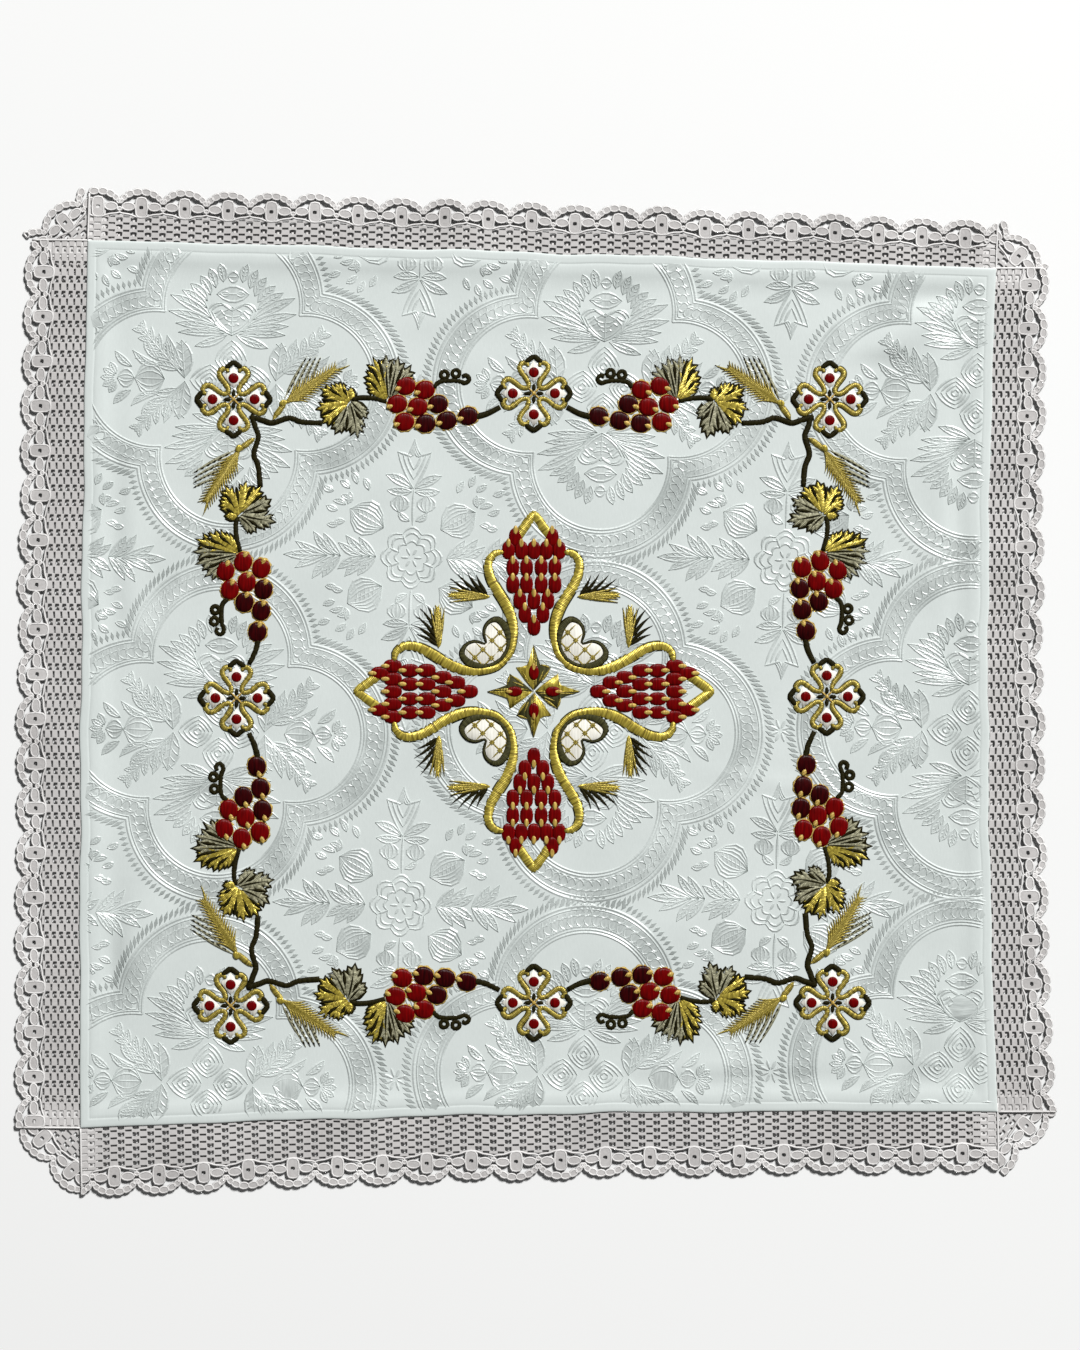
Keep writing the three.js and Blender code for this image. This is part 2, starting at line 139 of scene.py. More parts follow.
def side_point(side, share, out):
    """A point at a share of a side's length, pushed out by the side's own curve and a further distance."""
    start, end = PANEL_CORNERS[side], PANEL_CORNERS[(side + 1) % 4]
    along = end - start
    outwards = np.array([-along[1], along[0]]) / np.hypot(*along)
    share = np.asarray(share, float)
    push = side_push(side, share) + np.asarray(out, float)
    return start + along * share[..., None] + outwards * push[..., None]


def panel_plan(u, v):
    """The panel's plan as a Coons patch: the sum of its two ruled surfaces, less the bilinear one. u runs
    to the right and v upwards."""
    low, high = side_point(2, 1 - u, 0), side_point(0, u, 0)
    left, right = side_point(3, v, 0), side_point(1, 1 - v, 0)
    u, v = u[..., None], v[..., None]
    top_left, top_right, bottom_right, bottom_left = PANEL_CORNERS
    flat = (1 - v) * ((1 - u) * bottom_left + u * bottom_right) + v * ((1 - u) * top_left + u * top_right)
    return (1 - v) * low + v * high + (1 - u) * left + u * right - flat


def inset_of(plan):
    """Distance of plan points in from the nearest side of the panel."""
    depths = []
    for side in range(4):
        start = PANEL_CORNERS[side]
        along = PANEL_CORNERS[(side + 1) % 4] - start
        length = np.hypot(*along)
        share = np.clip((plan - start) @ along / length**2, 0, 1)
        out = (plan - start) @ np.array([-along[1], along[0]]) / length
        depths.append(side_push(side, share) - out)
    return np.min(depths, axis=0)


def ridge_height(plan, ridges):
    """Sum of the ridges, each a Gaussian along its crest and another across it."""
    height = np.zeros(plan.shape[:-1])
    for ridge in ridges:
        turn = np.radians(ridge.turn)
        local = plan - (SHIFT + (ridge.x, ridge.y))
        along = local @ np.array([np.cos(turn), np.sin(turn)]) / ridge.half_length
        across = local @ np.array([-np.sin(turn), np.cos(turn)]) / ridge.half_width
        height += ridge.height * np.exp(-(along**2) - across**2)
    return height


def face_height(plan):
    """Height of the panel's face: the hem's section by inset, plus the margin's ridges, faded in from the
    hem and out towards the field, plus the field's faint creases."""
    inset = inset_of(plan)
    shown = np.interp(inset, RIDGE_INSETS, (0, 1, 1, 0))
    shown = shown * shown * (3 - 2 * shown)
    field = np.clip((inset - RIDGE_INSETS[0]) / (RIDGE_INSETS[1] - RIDGE_INSETS[0]), 0, 1)
    hem = np.interp(inset, HEM_COLUMNS.inset, HEM_COLUMNS.face)
    return hem + shown * ridge_height(plan, MARGIN_RIDGES) + field * ridge_height(plan, FIELD_CREASES)


# Surfaces

Surface = namedtuple("Surface", "points quads uv")  # points and uv in mm

# A thread's section: across from its right edge to its left one, and its height
SATIN = np.array([(-1, 0), (-0.72, 0.68), (0, 1), (0.72, 0.68), (1, 0)])
RIDGE = np.array([(-1, 0), (0, 1), (1, 0)])
PLATE = np.array([(-1, 0), (-0.9, 1), (0.9, 1), (1, 0)])

# A dome's levels from its bottom up: share of the outline, and share of the height
DOME = np.array([(0, 0), (1, 0), (0.93, 0.5), (0.68, 0.88), (0.3, 0.99), (0, 1)])
PATCH = np.array([(0, 0), (1, 0), (0.93, 0.9), (0, 1)])
QUARTER_TURNS = ((0.0, 1.0), (-1.0, 0.0), (0.0, -1.0), (1.0, 0.0))  # up, left, down, right

CURVE_STEPS = 16  # samples of a curve between two of its points, before they are evened out
SHORTEST = 1e-9  # keeps a step of no length from being divided by
# How far the thread's texture is moved on from one ribbon or dome to the next, so that no two look alike
RIBBON_STEP = 7.3
DOME_STEP = 5.7


def grid_quads(count, rows, columns):
    """Quads of several grids of points whose columns close into a ring."""
    row, column = np.meshgrid(np.arange(rows - 1), np.arange(columns), indexing="ij")
    after = (column + 1) % columns
    corners = [
        row * columns + column,
        (row + 1) * columns + column,
        (row + 1) * columns + after,
        row * columns + after,
    ]
    one = np.stack(corners, -1).reshape(-1, 4)
    return (np.arange(count)[:, None, None] * rows * columns + one).reshape(-1, 4)


def smooth(points, count):
    """A Catmull-Rom curve through the points, sampled evenly along its length."""
    p = np.asarray(points, float)
    p = np.vstack([2 * p[0] - p[1], p, 2 * p[-1] - p[-2]])
    t = np.linspace(0, 1, CURVE_STEPS, endpoint=False)[:, None]
    a, b, c, d = (p[i : len(p) - 3 + i, None] for i in range(4))
    bend = (2 * a - 5 * b + 4 * c - d) * t**2 + (3 * b - a - 3 * c + d) * t**3
    fine = np.vstack([(0.5 * (2 * b + (c - a) * t + bend)).reshape(-1, 2), p[-2]])
    run = np.r_[0, np.cumsum(np.hypot(*np.diff(fine, axis=0).T))]
    even = np.linspace(0, run[-1], count)
    return np.stack([np.interp(even, run, fine[:, axis]) for axis in (0, 1)], -1)


def ribbons(
    paths, half_width, height, section=SATIN, lift=0.0, ground=face_height, ring=False, shown=None
):
    """A section carried along each path, on the ground under its own points. Open paths close in a point
    on the ground at both ends, and a ring's last point is its first. Where shown is false a ribbon has no
    width."""
    paths = np.asarray(paths, float)
    step = np.gradient(paths, axis=1)
    if ring:
        step[:, 0] = step[:, -1] = paths[:, 1] - paths[:, -2]
    step /= np.maximum(np.hypot(step[..., 0], step[..., 1]), SHORTEST)[..., None]
    half_width = np.broadcast_to(half_width, paths.shape[:2])
    height = np.broadcast_to(height, paths.shape[:2])
    if shown is not None:
        half_width, height = half_width * shown, height * shown
    run = np.cumsum(np.hypot(*np.moveaxis(np.diff(paths, axis=1, prepend=paths[:, :1]), -1, 0)), axis=1)
    run = run + RIBBON_STEP * np.arange(len(paths))[:, None]
    if not ring:
        pad = ((0, 0), (1, 1))
        paths, step = (np.pad(array, pad + ((0, 0),), mode="edge") for array in (paths, step))
        half_width, height = np.pad(half_width, pad), np.pad(height, pad)
        run = np.pad(run, pad, mode="edge")
    across, up = section.T
    sideways = half_width[..., None] * across
    normal = np.stack([-step[..., 1], step[..., 0]], -1)
    plan = paths[:, :, None] + normal[:, :, None] * sideways[..., None]
    level = ground(plan) + lift + height[..., None] * up
    points = np.concatenate([plan, level[..., None]], -1).reshape(-1, 3)
    uv = np.stack([np.broadcast_to(run[..., None], sideways.shape), sideways], -1).reshape(-1, 2)
    count, rows, columns = level.shape
    quads = grid_quads(count, rows, columns)
    if shown is not None:
        wide = (np.repeat(half_width.reshape(-1), columns) > 0)[quads].any(axis=1)
        quads = quads[wide]
    return Surface(points, quads, uv)


def domes(outlines, height, levels=DOME, lift=0.0):
    """Raised patches on the panel's face: each outline shrinks towards its middle as it rises through the
    levels, and closes in a point on top and underneath. The thread's coordinates are the plan's, from the
    outline's middle."""
    outlines = np.asarray(outlines, float)
    x, y = outlines[..., 0], outlines[..., 1]
    area = np.sum(x * np.roll(y, -1, 1) - np.roll(x, -1, 1) * y, axis=1)
    outlines = np.where((area > 0)[:, None, None], outlines[:, ::-1], outlines)
    middle = outlines.mean(axis=1, keepdims=True)
    share, up = levels.T
    plan = middle[:, None] + (outlines - middle)[:, None] * share[None, :, None, None]
    height = np.broadcast_to(height, (len(outlines),))
    level = face_height(plan) + lift + height[:, None, None] * up[None, :, None]
    points = np.concatenate([plan, level[..., None]], -1)
    uv = plan - middle[:, None]
    uv[..., 0] += DOME_STEP * np.arange(len(outlines))[:, None, None]
    quads = grid_quads(*level.shape)
    return Surface(points.reshape(-1, 3), quads, uv.reshape(-1, 2))


def ovals(centres, half_x, half_y, turn=0.0, count=14, corner=1.0, ring=False):
    """Ovals about the centres: a sine and a cosine raised to the corner power, 1 for an ellipse and less
    for a squarer one. half_x, half_y and turn may differ from one to the next."""
    angle = np.linspace(0, 2 * np.pi, count + 1)
    angle = angle if ring else angle[:-1]
    wave = np.stack([np.cos(angle), np.sin(angle)], -1)
    wave = np.sign(wave) * np.abs(wave) ** corner
    centres = np.atleast_2d(np.asarray(centres, float))
    columns = [np.broadcast_to(np.asarray(a, float), len(centres))[:, None] for a in (half_x, half_y, turn)]
    x, y, turn = columns[0] * wave[:, 0], columns[1] * wave[:, 1], np.radians(columns[2])
    turned_oval = [x * np.cos(turn) - y * np.sin(turn), x * np.sin(turn) + y * np.cos(turn)]
    return centres[:, None] + np.stack(turned_oval, -1)


def placed(paths, places):
    """Local paths carried to every place, which is an origin and the plan vectors of the local x and y."""
    paths = np.asarray(paths, float)
    return np.concatenate([origin + paths[..., :1] * x + paths[..., 1:] * y for origin, x, y in places])


# Strokes: a row is [base x, base y, tip x, tip y, bend, half width]


def stroke_lines(rows, count):
    """Centre lines of strokes: quadratic Beziers whose middle control point stands off the chord to the
    left by bend times its length."""
    t = np.linspace(0, 1, count)[None, :, None]
    base, tip = rows[:, None, 0:2], rows[:, None, 2:4]
    left = np.stack([base[..., 1] - tip[..., 1], tip[..., 0] - base[..., 0]], -1)
    control = (base + tip) / 2 + left * rows[:, None, 4:5]
    return (1 - t) ** 2 * base + 2 * t * (1 - t) * control + t**2 * tip


def leaf_taper(count, fullest=0.4, power=1.0):
    """A leaf's width along its length: a sine arch whose crown is at the given share, raised to a power,
    1 for a slim leaf and less for blunter ends."""
    arch = np.sin(np.pi * np.linspace(0, 1, count) ** (np.log(0.5) / np.log(fullest)))
    return np.maximum(arch, 0) ** power


def strokes(rows, places, height, count=6, section=SATIN, fullest=0.4, power=1.0, clip=None, **laid):
    """Leaf-shaped stitches from stroke rows, at every place. clip says which of their points are shown."""
    rows = np.asarray(rows, float)
    width = np.tile(rows[:, 5:6] * leaf_taper(count, fullest, power), (len(places), 1))
    paths = placed(stroke_lines(rows, count), places)
    shown = None if clip is None else clip(paths)
    return ribbons(paths, width, height, section, shown=shown, **laid)


def rows_between(base, tip, bend, half_width):
    """Stroke rows from base points to tip points, all with one bend and one half width."""
    return np.hstack([base, tip, np.tile((bend, half_width), (len(base), 1))])


def mirrored(rows):
    """Stroke rows, and the same with x turned over."""
    rows = np.asarray(rows, float)
    return np.concatenate([rows, rows * (-1, 1, -1, 1, -1, 1)])


def turned(rows, degrees, shift=(0, 0), scale=1.0):
    """Stroke rows turned about the local origin, sized and moved."""
    rows = np.array(rows, float)
    c, s = np.cos(np.radians(degrees)) * scale, np.sin(np.radians(degrees)) * scale
    turn = np.array([(c, s), (-s, c)])
    rows[:, 0:2] = rows[:, 0:2] @ turn + shift
    rows[:, 2:4] = rows[:, 2:4] @ turn + shift
    rows[:, 5] *= scale
    return rows


def nested(rows, middle, scales):
    """Stroke rows repeated inside themselves, shrunk towards a middle, with their widths kept."""
    rows = np.asarray(rows, float)
    middle = np.asarray(middle, float)
    rings = []
    for scale in scales:
        ring = turned(rows, 0, middle * (1 - scale), scale)
        ring[:, 5] = rows[:, 5]
        rings.append(ring)
    return np.concatenate(rings)


def fan(count, spread, inner, outer, width):
    """Stroke rows of a fan about +y, from the inner to the outer radius."""
    angle = np.radians(np.linspace(-spread / 2, spread / 2, count))
    ray = np.stack([np.sin(angle), np.cos(angle)], -1)
    return rows_between(inner * ray, outer * ray, 0, width)


def spray(length, pairs, leaf, width, angle, bend=0.15, start=0.15):
    """Stroke rows of a leafy spray along +y: a thin stalk, a tip leaf, and pairs of leaves from the start
    share of its length to 0.86 of it, which shrink to 0.55 of their size on the way."""
    at = np.linspace(start, 0.86, pairs) * length
    size = leaf * np.linspace(1, 0.55, pairs)
    side, up = np.sin(np.radians(angle)) * size, np.cos(np.radians(angle)) * size
    flat, full = np.zeros(pairs), np.ones(pairs)
    right = np.stack([flat, at, side, at + up, bend * full, width * size / leaf], -1)
    middle = [(0, 0, 0, 0.9 * length, 0, 0.45 * width), (0, 0.8 * length, 0, length, 0, 0.8 * width)]
    return np.concatenate([mirrored(right), middle])


def ribs(base, tip, bends, width):
    """Stroke rows that share their ends and bulge by different bends, as the ribs of a fruit do."""
    return np.array([(*base, *tip, bend, width) for bend in bends])


# Writing pieces


def write_piece(name, surfaces, material, nodes=(), smooth_faces=True):
    """Joins surfaces into one mesh in metres, welds its seams and rides it on the cover's body."""
    first = np.cumsum([0] + [len(s.points) for s in surfaces])
    quads = np.concatenate([s.quads + offset for s, offset in zip(surfaces, first)])
    used, quads = np.unique(quads, return_inverse=True)
    quads = quads.reshape(-1, 4)
    points = np.concatenate([s.points for s in surfaces])[used] * MM
    uv = np.concatenate([s.uv for s in surfaces])[used]
    mesh = bpy.data.meshes.new(name)
    mesh.vertices.add(len(points))
    mesh.vertices.foreach_set("co", points.ravel())
    mesh.loops.add(quads.size)
    mesh.loops.foreach_set("vertex_index", quads.ravel())
    mesh.polygons.add(len(quads))
    mesh.polygons.foreach_set("loop_start", np.arange(0, quads.size, 4))
    mesh.uv_layers.new(name=UV_NAME).data.foreach_set("uv", uv[quads.ravel()].ravel())
    mesh.update(calc_edges=True)
    welded = bmesh.new()
    welded.from_mesh(mesh)
    bmesh.ops.remove_doubles(welded, verts=welded.verts, dist=WELD * MM)
    welded.to_mesh(mesh)
    welded.free()
    mesh.polygons.foreach_set("use_smooth", np.full(len(mesh.polygons), smooth_faces))
    mesh.materials.append(material)
    piece = bpy.data.objects.new(name, mesh)
    bpy.context.collection.objects.link(piece)
    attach(piece, BODY)
    if nodes:
        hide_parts(*nodes)
    return piece


# Materials


def srgb(colour):
    """Linear RGBA of an sRGB hex colour, by the standard's two-part curve."""
    value = np.array([int(colour[i : i + 2], 16) for i in (0, 2, 4)]) / 255
    linear = np.where(value <= 0.04045, value / 12.92, ((value + 0.055) / 1.055) ** 2.4)
    return (*(float(v) for v in linear), 1.0)


def add_node(tree, kind, sockets=None, links=None, stops=(), **properties):
    """Adds one node with its own properties, its sockets' values, the outputs that feed its sockets and, on
    a colour ramp, the place and colour of each of its two stops."""
    node = tree.nodes.new(kind)
    for name, value in properties.items():
        setattr(node, name, value)
    for socket, value in (sockets or {}).items():
        node.inputs[socket].default_value = value
    for socket, source in (links or {}).items():
        tree.links.new(source, node.inputs[socket])
    for index, (place, colour) in enumerate(stops):
        node.color_ramp.elements[index].position = place
        node.color_ramp.elements[index].color = tuple(colour)
    return node


def new_material(name):
    """An empty node material and its tree."""
    material = bpy.data.materials.new(name)
    material.use_nodes = True
    material.node_tree.nodes.clear()
    return material, material.node_tree


def woven_brocade(settings):
    """Polyester brocade, its satin ground: smooth white floats with a faint thread texture and a soft
    sheen. The threads are 0.2 mm apart on the real cloth, and are drawn 1.3 mm apart so that they show."""
    thread_apart, thread_length, cloud_size = 1.3 * MM, 4.5 * MM, 60 * MM
    material, tree = new_material("woven_brocade_ground")
    place = add_node(tree, "ShaderNodeTexCoord").outputs["Object"]
    scale = (1 / thread_apart, 1 / thread_length, 1)
    thread = add_node(tree, "ShaderNodeMapping", {"Scale": scale}, {"Vector": place}).outputs[0]
    weave = add_node(tree, "ShaderNodeTexNoise", {"Scale": 1.0, "Detail": 3.0}, {"Vector": thread})
    patches = {"Scale": 1 / cloud_size, "Detail": 3.0}
    cloud = add_node(tree, "ShaderNodeTexNoise", patches, {"Vector": place})
    tone = add_node(
        tree,
        "ShaderNodeMath",
        {1: 0.45},
        {0: weave.outputs["Fac"], 2: cloud.outputs["Fac"]},
        operation="MULTIPLY_ADD",
    )
    shades = [(0.45, settings.shade), (0.95, settings.ground)]
    ramp = add_node(tree, "ShaderNodeValToRGB", links={"Fac": tone.outputs[0]}, stops=shades)
    height = {"Height": weave.outputs["Fac"]}
    bump = add_node(tree, "ShaderNodeBump", {"Strength": 0.25, "Distance": 0.12 * MM}, height)
    shader = add_node(
        tree,
        "ShaderNodeBsdfPrincipled",
        {"Roughness": 0.5, "IOR": 1.5, "Sheen Weight": 0.05, "Sheen Roughness": 0.4},
        {"Base Color": ramp.outputs["Color"], "Normal": bump.outputs[0]},
    )
    add_node(tree, "ShaderNodeOutputMaterial", links={"Surface": shader.outputs[0]})
    return material


def woven_figure(name, dark, light, roughness):
    """The brocade's figure: weft floats that stand a little off the ground, glossier than it and greyer, in
    ribs that cross each stroke. Broad patches of them are painted lighter and darker, as painted sheen and
    painted shade where the floats catch the light and turn it away. The cloth's handling has dulled them in
    some places, and there they are rougher. The ribs are 0.3 mm apart on the real cloth, and are drawn 1.4
    mm apart."""
    rib_apart, changes_along_rib = 1.4, 0.12  # in the UV map's mm, and for each of them
    cloud_size, wear_size, wear_depth = 38 * MM, 110 * MM, 0.3
    material, tree = new_material(name)
    uv = add_node(tree, "ShaderNodeUVMap", uv_map=UV_NAME).outputs[0]
    place = add_node(tree, "ShaderNodeTexCoord").outputs["Object"]
    scale = (1 / rib_apart, changes_along_rib, 1)
    rib = add_node(tree, "ShaderNodeMapping", {"Scale": scale}, {"Vector": uv}).outputs[0]
    fine = add_node(tree, "ShaderNodeTexNoise", {"Scale": 1.0, "Detail": 2.0}, {"Vector": rib})
    # painted sheen and painted shade: a broad noise mixes the floats' light and dark colours in patches
    patches = {"Scale": 1 / cloud_size, "Detail": 2.0}
    cloud = add_node(tree, "ShaderNodeTexNoise", patches, {"Vector": place})
    tone = add_node(
        tree,
        "ShaderNodeMath",
        {1: 0.6},
        {0: fine.outputs["Fac"], 2: cloud.outputs["Fac"]},
        operation="MULTIPLY_ADD",
    )
    shades = [(0.6, dark), (1.0, light)]
    ramp = add_node(tree, "ShaderNodeValToRGB", links={"Fac": tone.outputs[0]}, stops=shades)
    height = {"Height": fine.outputs["Fac"]}
    bump = add_node(tree, "ShaderNodeBump", {"Strength": 0.5, "Distance": 0.15 * MM}, height)
    handled = {"Scale": 1 / wear_size, "Detail": 1.0}
    wear = add_node(tree, "ShaderNodeTexNoise", handled, {"Vector": place})
    dull = add_node(
        tree,
        "ShaderNodeMapRange",
        {"From Min": 0.38, "From Max": 0.62, "To Min": roughness, "To Max": roughness + wear_depth},
        {"Value": wear.outputs["Fac"]},
    )
    shader = add_node(
        tree,
        "ShaderNodeBsdfPrincipled",
        {"IOR": 1.5, "Specular IOR Level": 0.7},
        {"Base Color": ramp.outputs["Color"], "Roughness": dull.outputs[0], "Normal": bump.outputs[0]},
    )
    add_node(tree, "ShaderNodeOutputMaterial", links={"Surface": shader.outputs[0]})
    return material


def satin_thread(name, dark, light, roughness, metallic, specular):
    """Machine embroidery thread, twisted viscose or metallised film, laid in satin stitch: fine ridges
    across each stroke that catch the light one by one. Its colour runs at random along the stitches between
    the thread in the light and in its folds, as painted highlights and painted shade. Stitches are 0.4 mm
    apart on the real cover, and are drawn 1 mm apart so that they show."""
    pitch, changes_along_stitch = 1.0, 0.1  # in the UV map's mm, and for each of them
    wave_scale = np.pi / 10 / pitch  # a wave texture's bands repeat every pi / 10 at scale 1
    material, tree = new_material(name)
    uv = add_node(tree, "ShaderNodeUVMap", uv_map=UV_NAME).outputs[0]
    scale = (0.6 / pitch, changes_along_stitch, 1)
    stitch = add_node(tree, "ShaderNodeMapping", {"Scale": scale}, {"Vector": uv}).outputs[0]
    # painted highlights and painted shade: noise along the stitches mixes the thread's colour in the light
    # with its colour in its folds
    painted_light_mix = add_node(tree, "ShaderNodeTexNoise", {"Scale": 1.0, "Detail": 2.0}, {"Vector": stitch})
    shades = [(0.27, dark), (0.66, light)]
    ramp = add_node(tree, "ShaderNodeValToRGB", links={"Fac": painted_light_mix.outputs["Fac"]}, stops=shades)
    ridge = add_node(
        tree,
        "ShaderNodeTexWave",
        {"Scale": wave_scale, "Distortion": 0.8, "Detail": 1.0, "Detail Scale": 1.5},
        {"Vector": uv},
        bands_direction="X",
    )
    height = {"Height": ridge.outputs["Fac"]}
    bump = add_node(tree, "ShaderNodeBump", {"Strength": 0.5, "Distance": 0.25 * MM}, height)
    shader = add_node(
        tree,
        "ShaderNodeBsdfPrincipled",
        {"Roughness": roughness, "Metallic": metallic, "IOR": 1.5, "Specular IOR Level": specular},
        {"Base Color": ramp.outputs["Color"], "Normal": bump.outputs[0]},
    )
    add_node(tree, "ShaderNodeOutputMaterial", links={"Surface": shader.outputs[0]})
    return material


def lace_cotton(name, dark, light):
    """Machine lace of white cotton: matte, a little pink-grey against the brocade, and uneven where its
    threads lie thicker. The upright sides of its openings are painted darker, as painted shade for the deep
    gaps between its fine threads. The threads' own twist is drawn 1.6 mm long so that it shows."""
    twist_length, cloud_size = 1.6 * MM, 45 * MM
    material, tree = new_material(name)
    place = add_node(tree, "ShaderNodeTexCoord").outputs["Object"]
    twist = {"Scale": 1 / twist_length, "Detail": 2.0}
    thread = add_node(tree, "ShaderNodeTexNoise", twist, {"Vector": place})
    patches = {"Scale": 1 / cloud_size, "Detail": 2.0}
    cloud = add_node(tree, "ShaderNodeTexNoise", patches, {"Vector": place})
    tone = add_node(
        tree,
        "ShaderNodeMath",
        {1: 0.5},
        {0: thread.outputs["Fac"], 2: cloud.outputs["Fac"]},
        operation="MULTIPLY_ADD",
    )
    shades = [(0.5, dark), (0.95, light)]
    ramp = add_node(tree, "ShaderNodeValToRGB", links={"Fac": tone.outputs[0]}, stops=shades)
    # painted shade: the colour darkens on faces that turn away from facing up, most on the openings'
    # upright sides
    facing = add_node(tree, "ShaderNodeNewGeometry").outputs["True Normal"]
    upwards = add_node(tree, "ShaderNodeSeparateXYZ", links={"Vector": facing}).outputs["Z"]
    sides = {"From Min": 0.2, "From Max": 0.6, "To Min": 0.2, "To Max": 1.0}
    # The figure's, fills' and rope's light and dark colours are mixed in broad patches of painted sheen and
    # painted shade.
    share = add_node(tree, "ShaderNodeMapRange", sides, {"Value": upwards}).outputs[0]
    painted_light_mix = {"Color": ramp.outputs["Color"], "Value": share}
    wall_painted_shade = add_node(tree, "ShaderNodeHueSaturation", links=painted_light_mix)
    height = {"Height": thread.outputs["Fac"]}
    bump = add_node(tree, "ShaderNodeBump", {"Strength": 0.4, "Distance": 0.2 * MM}, height)
    shader = add_node(
        tree,
        "ShaderNodeBsdfPrincipled",
        {"Roughness": 0.85, "IOR": 1.5, "Specular IOR Level": 0.3},
        {"Base Color": wall_painted_shade.outputs[0], "Normal": bump.outputs[0]},
    )
    add_node(tree, "ShaderNodeOutputMaterial", links={"Surface": shader.outputs[0]})
    return material


def stage_paper(settings):
    """Matte studio paper: a plain off-white with hardly any gloss and a fine fibrous tooth, drawn 2 mm
    wide."""
    tooth_size = 2 * MM
    material, tree = new_material("stage_paper")
    place = add_node(tree, "ShaderNodeTexCoord").outputs["Object"]
    tooth = add_node(tree, "ShaderNodeTexNoise", {"Scale": 1 / tooth_size}, {"Vector": place})
    height = {"Height": tooth.outputs["Fac"]}
    bump = add_node(tree, "ShaderNodeBump", {"Strength": 0.05, "Distance": 0.1 * MM}, height)
    shader = add_node(
        tree,
        "ShaderNodeBsdfPrincipled",
        {"Base Color": tuple(settings.paper), "Roughness": 0.95, "Specular IOR Level": 0.1},
        {"Normal": bump.outputs[0]},
    )
    add_node(tree, "ShaderNodeOutputMaterial", links={"Surface": shader.outputs[0]})
    return material


# Brocade panel

# Grid lines in from the panel's edge, close together over the hem's fold and its stitched groove
HEM_LINES = (0, 0.25, 0.5, 1, 1.6, 3, 4.4, 5.4, 5.8, 6.2, 6.6, 7, 9, 12, 14, 16, 18, 20, 23)
FIELD_STEP = 5.2  # mm between the field's grid lines
THINNEST, THICKEST = 0.3, 1.4  # of the sheet


def panel_surface():
    """The panel as one closed sheet: a grid of the Coons patch for the face, the same grid below it for the
    underside, joined along the edge."""
    width = np.hypot(*(PANEL_CORNERS[1] - PANEL_CORNERS[0]))
    edge = np.array(HEM_LINES) / width
    lines = np.linspace(edge[-1], 1 - edge[-1], int(width / FIELD_STEP))[1:-1]
    lines = np.concatenate([edge, lines, 1 - edge[::-1]])
    u, v = np.meshgrid(lines, lines)
    plan = panel_plan(u, v)
    face = face_height(plan)
    under = np.interp(inset_of(plan), HEM_COLUMNS.inset, HEM_COLUMNS.under)
    under = np.maximum(np.minimum(under, face - THINNEST), face - THICKEST)
    rows, columns = face.shape
    index = np.arange(rows * columns).reshape(rows, columns)
    quads = np.stack([index[:-1, :-1], index[:-1, 1:], index[1:, 1:], index[1:, :-1]], -1).reshape(-1, 4)
    rim = np.concatenate([index[0, :-1], index[:-1, -1], index[-1, :0:-1], index[:0:-1, 0]])
    walls = np.stack([rim + index.size, np.roll(rim, -1) + index.size, np.roll(rim, -1), rim], -1)
    points = np.concatenate([np.dstack([plan, level]).reshape(-1, 3) for level in (face, under)])
    uv = np.tile(plan.reshape(-1, 2), (2, 1))
    return Surface(points, np.concatenate([quads, quads[:, ::-1] + index.size, walls]), uv)


# Brocade pattern: a lattice of quatrefoils with figures in their lobes and between them

# Its first place and its steps, as shares of the panel's width and height from the top left
LATTICE_START = np.array((0.158, 0.1545))
LATTICE_ACROSS = np.array((0.41, -0.0027))
LATTICE_DOWN = np.array((-0.01, 0.3988))
LATTICE_SIZE = 3
LOBE_RADIUS = (68.5, 46.0)  # of the band's outer and inner edge
LOBE_CENTRE = (55.0, 51.0)  # from the quatrefoil's middle
BROCADE_INSET = 6.6  # where the pattern turns over the hem
FLOAT_HEIGHT = 0.46
LINE = 1.1  # half the width of a figure's lines
LEAF = 1.35  # strokes wider than twice this are leaves
FILL_HEIGHT = 0.18
ROPE_HEIGHT = 0.32
LOBE_STEP = 0.02  # between the levels of a quatrefoil's lobes, which cross one another
VEIN = 0.7  # half the width of a leaf's side veins
VEIN_SHARES = (0.3, 0.5, 0.68)
WIDEST_VEINED = 3.5  # wider fills are round bodies

# How far figures reach from their middles: bands, lobes, between the quatrefoils and where those touch
BAND_REACH, LOBE_REACH, BETWEEN_REACH, TOUCH_REACH = 125.0, 100.0, 90.0, 10.0

# A quatrefoil's band by shares of its width, from its outer edge in: the rope, the lines, and the rims
# from which its scrolls run to one another
ROPE_EDGES = (0.0, 0.24)
ROPE_BLOCKS = 48
ROPE_HALF = 1.3
BandLine = namedtuple("BandLine", "share half_width")
BAND_LINES = [BandLine(0.31, 1.2), BandLine(0.40, 0.8), BandLine(0.92, 1.0), BandLine(1.0, 1.0)]
SCROLL_RIMS = (0.45, 0.56, 0.68, 0.85)
RIM_POINTS = 30  # along each rim in a lobe
BandScroll = namedtuple("BandScroll", "start end bend half_width")
BAND_SCROLLS = [
    BandScroll(0, 1, 0.5, 1.2),
    BandScroll(1, 2, -0.5, 1.2),
    BandScroll(2, 3, 0.5, 1.2),
    BandScroll(3, 2, 0.4, 1.1),
]
FIELD_SHARE = 0.66  # the middle of the close weave under the scrolls
FIELD_HALF = 6.4
ARC_POINTS = 40


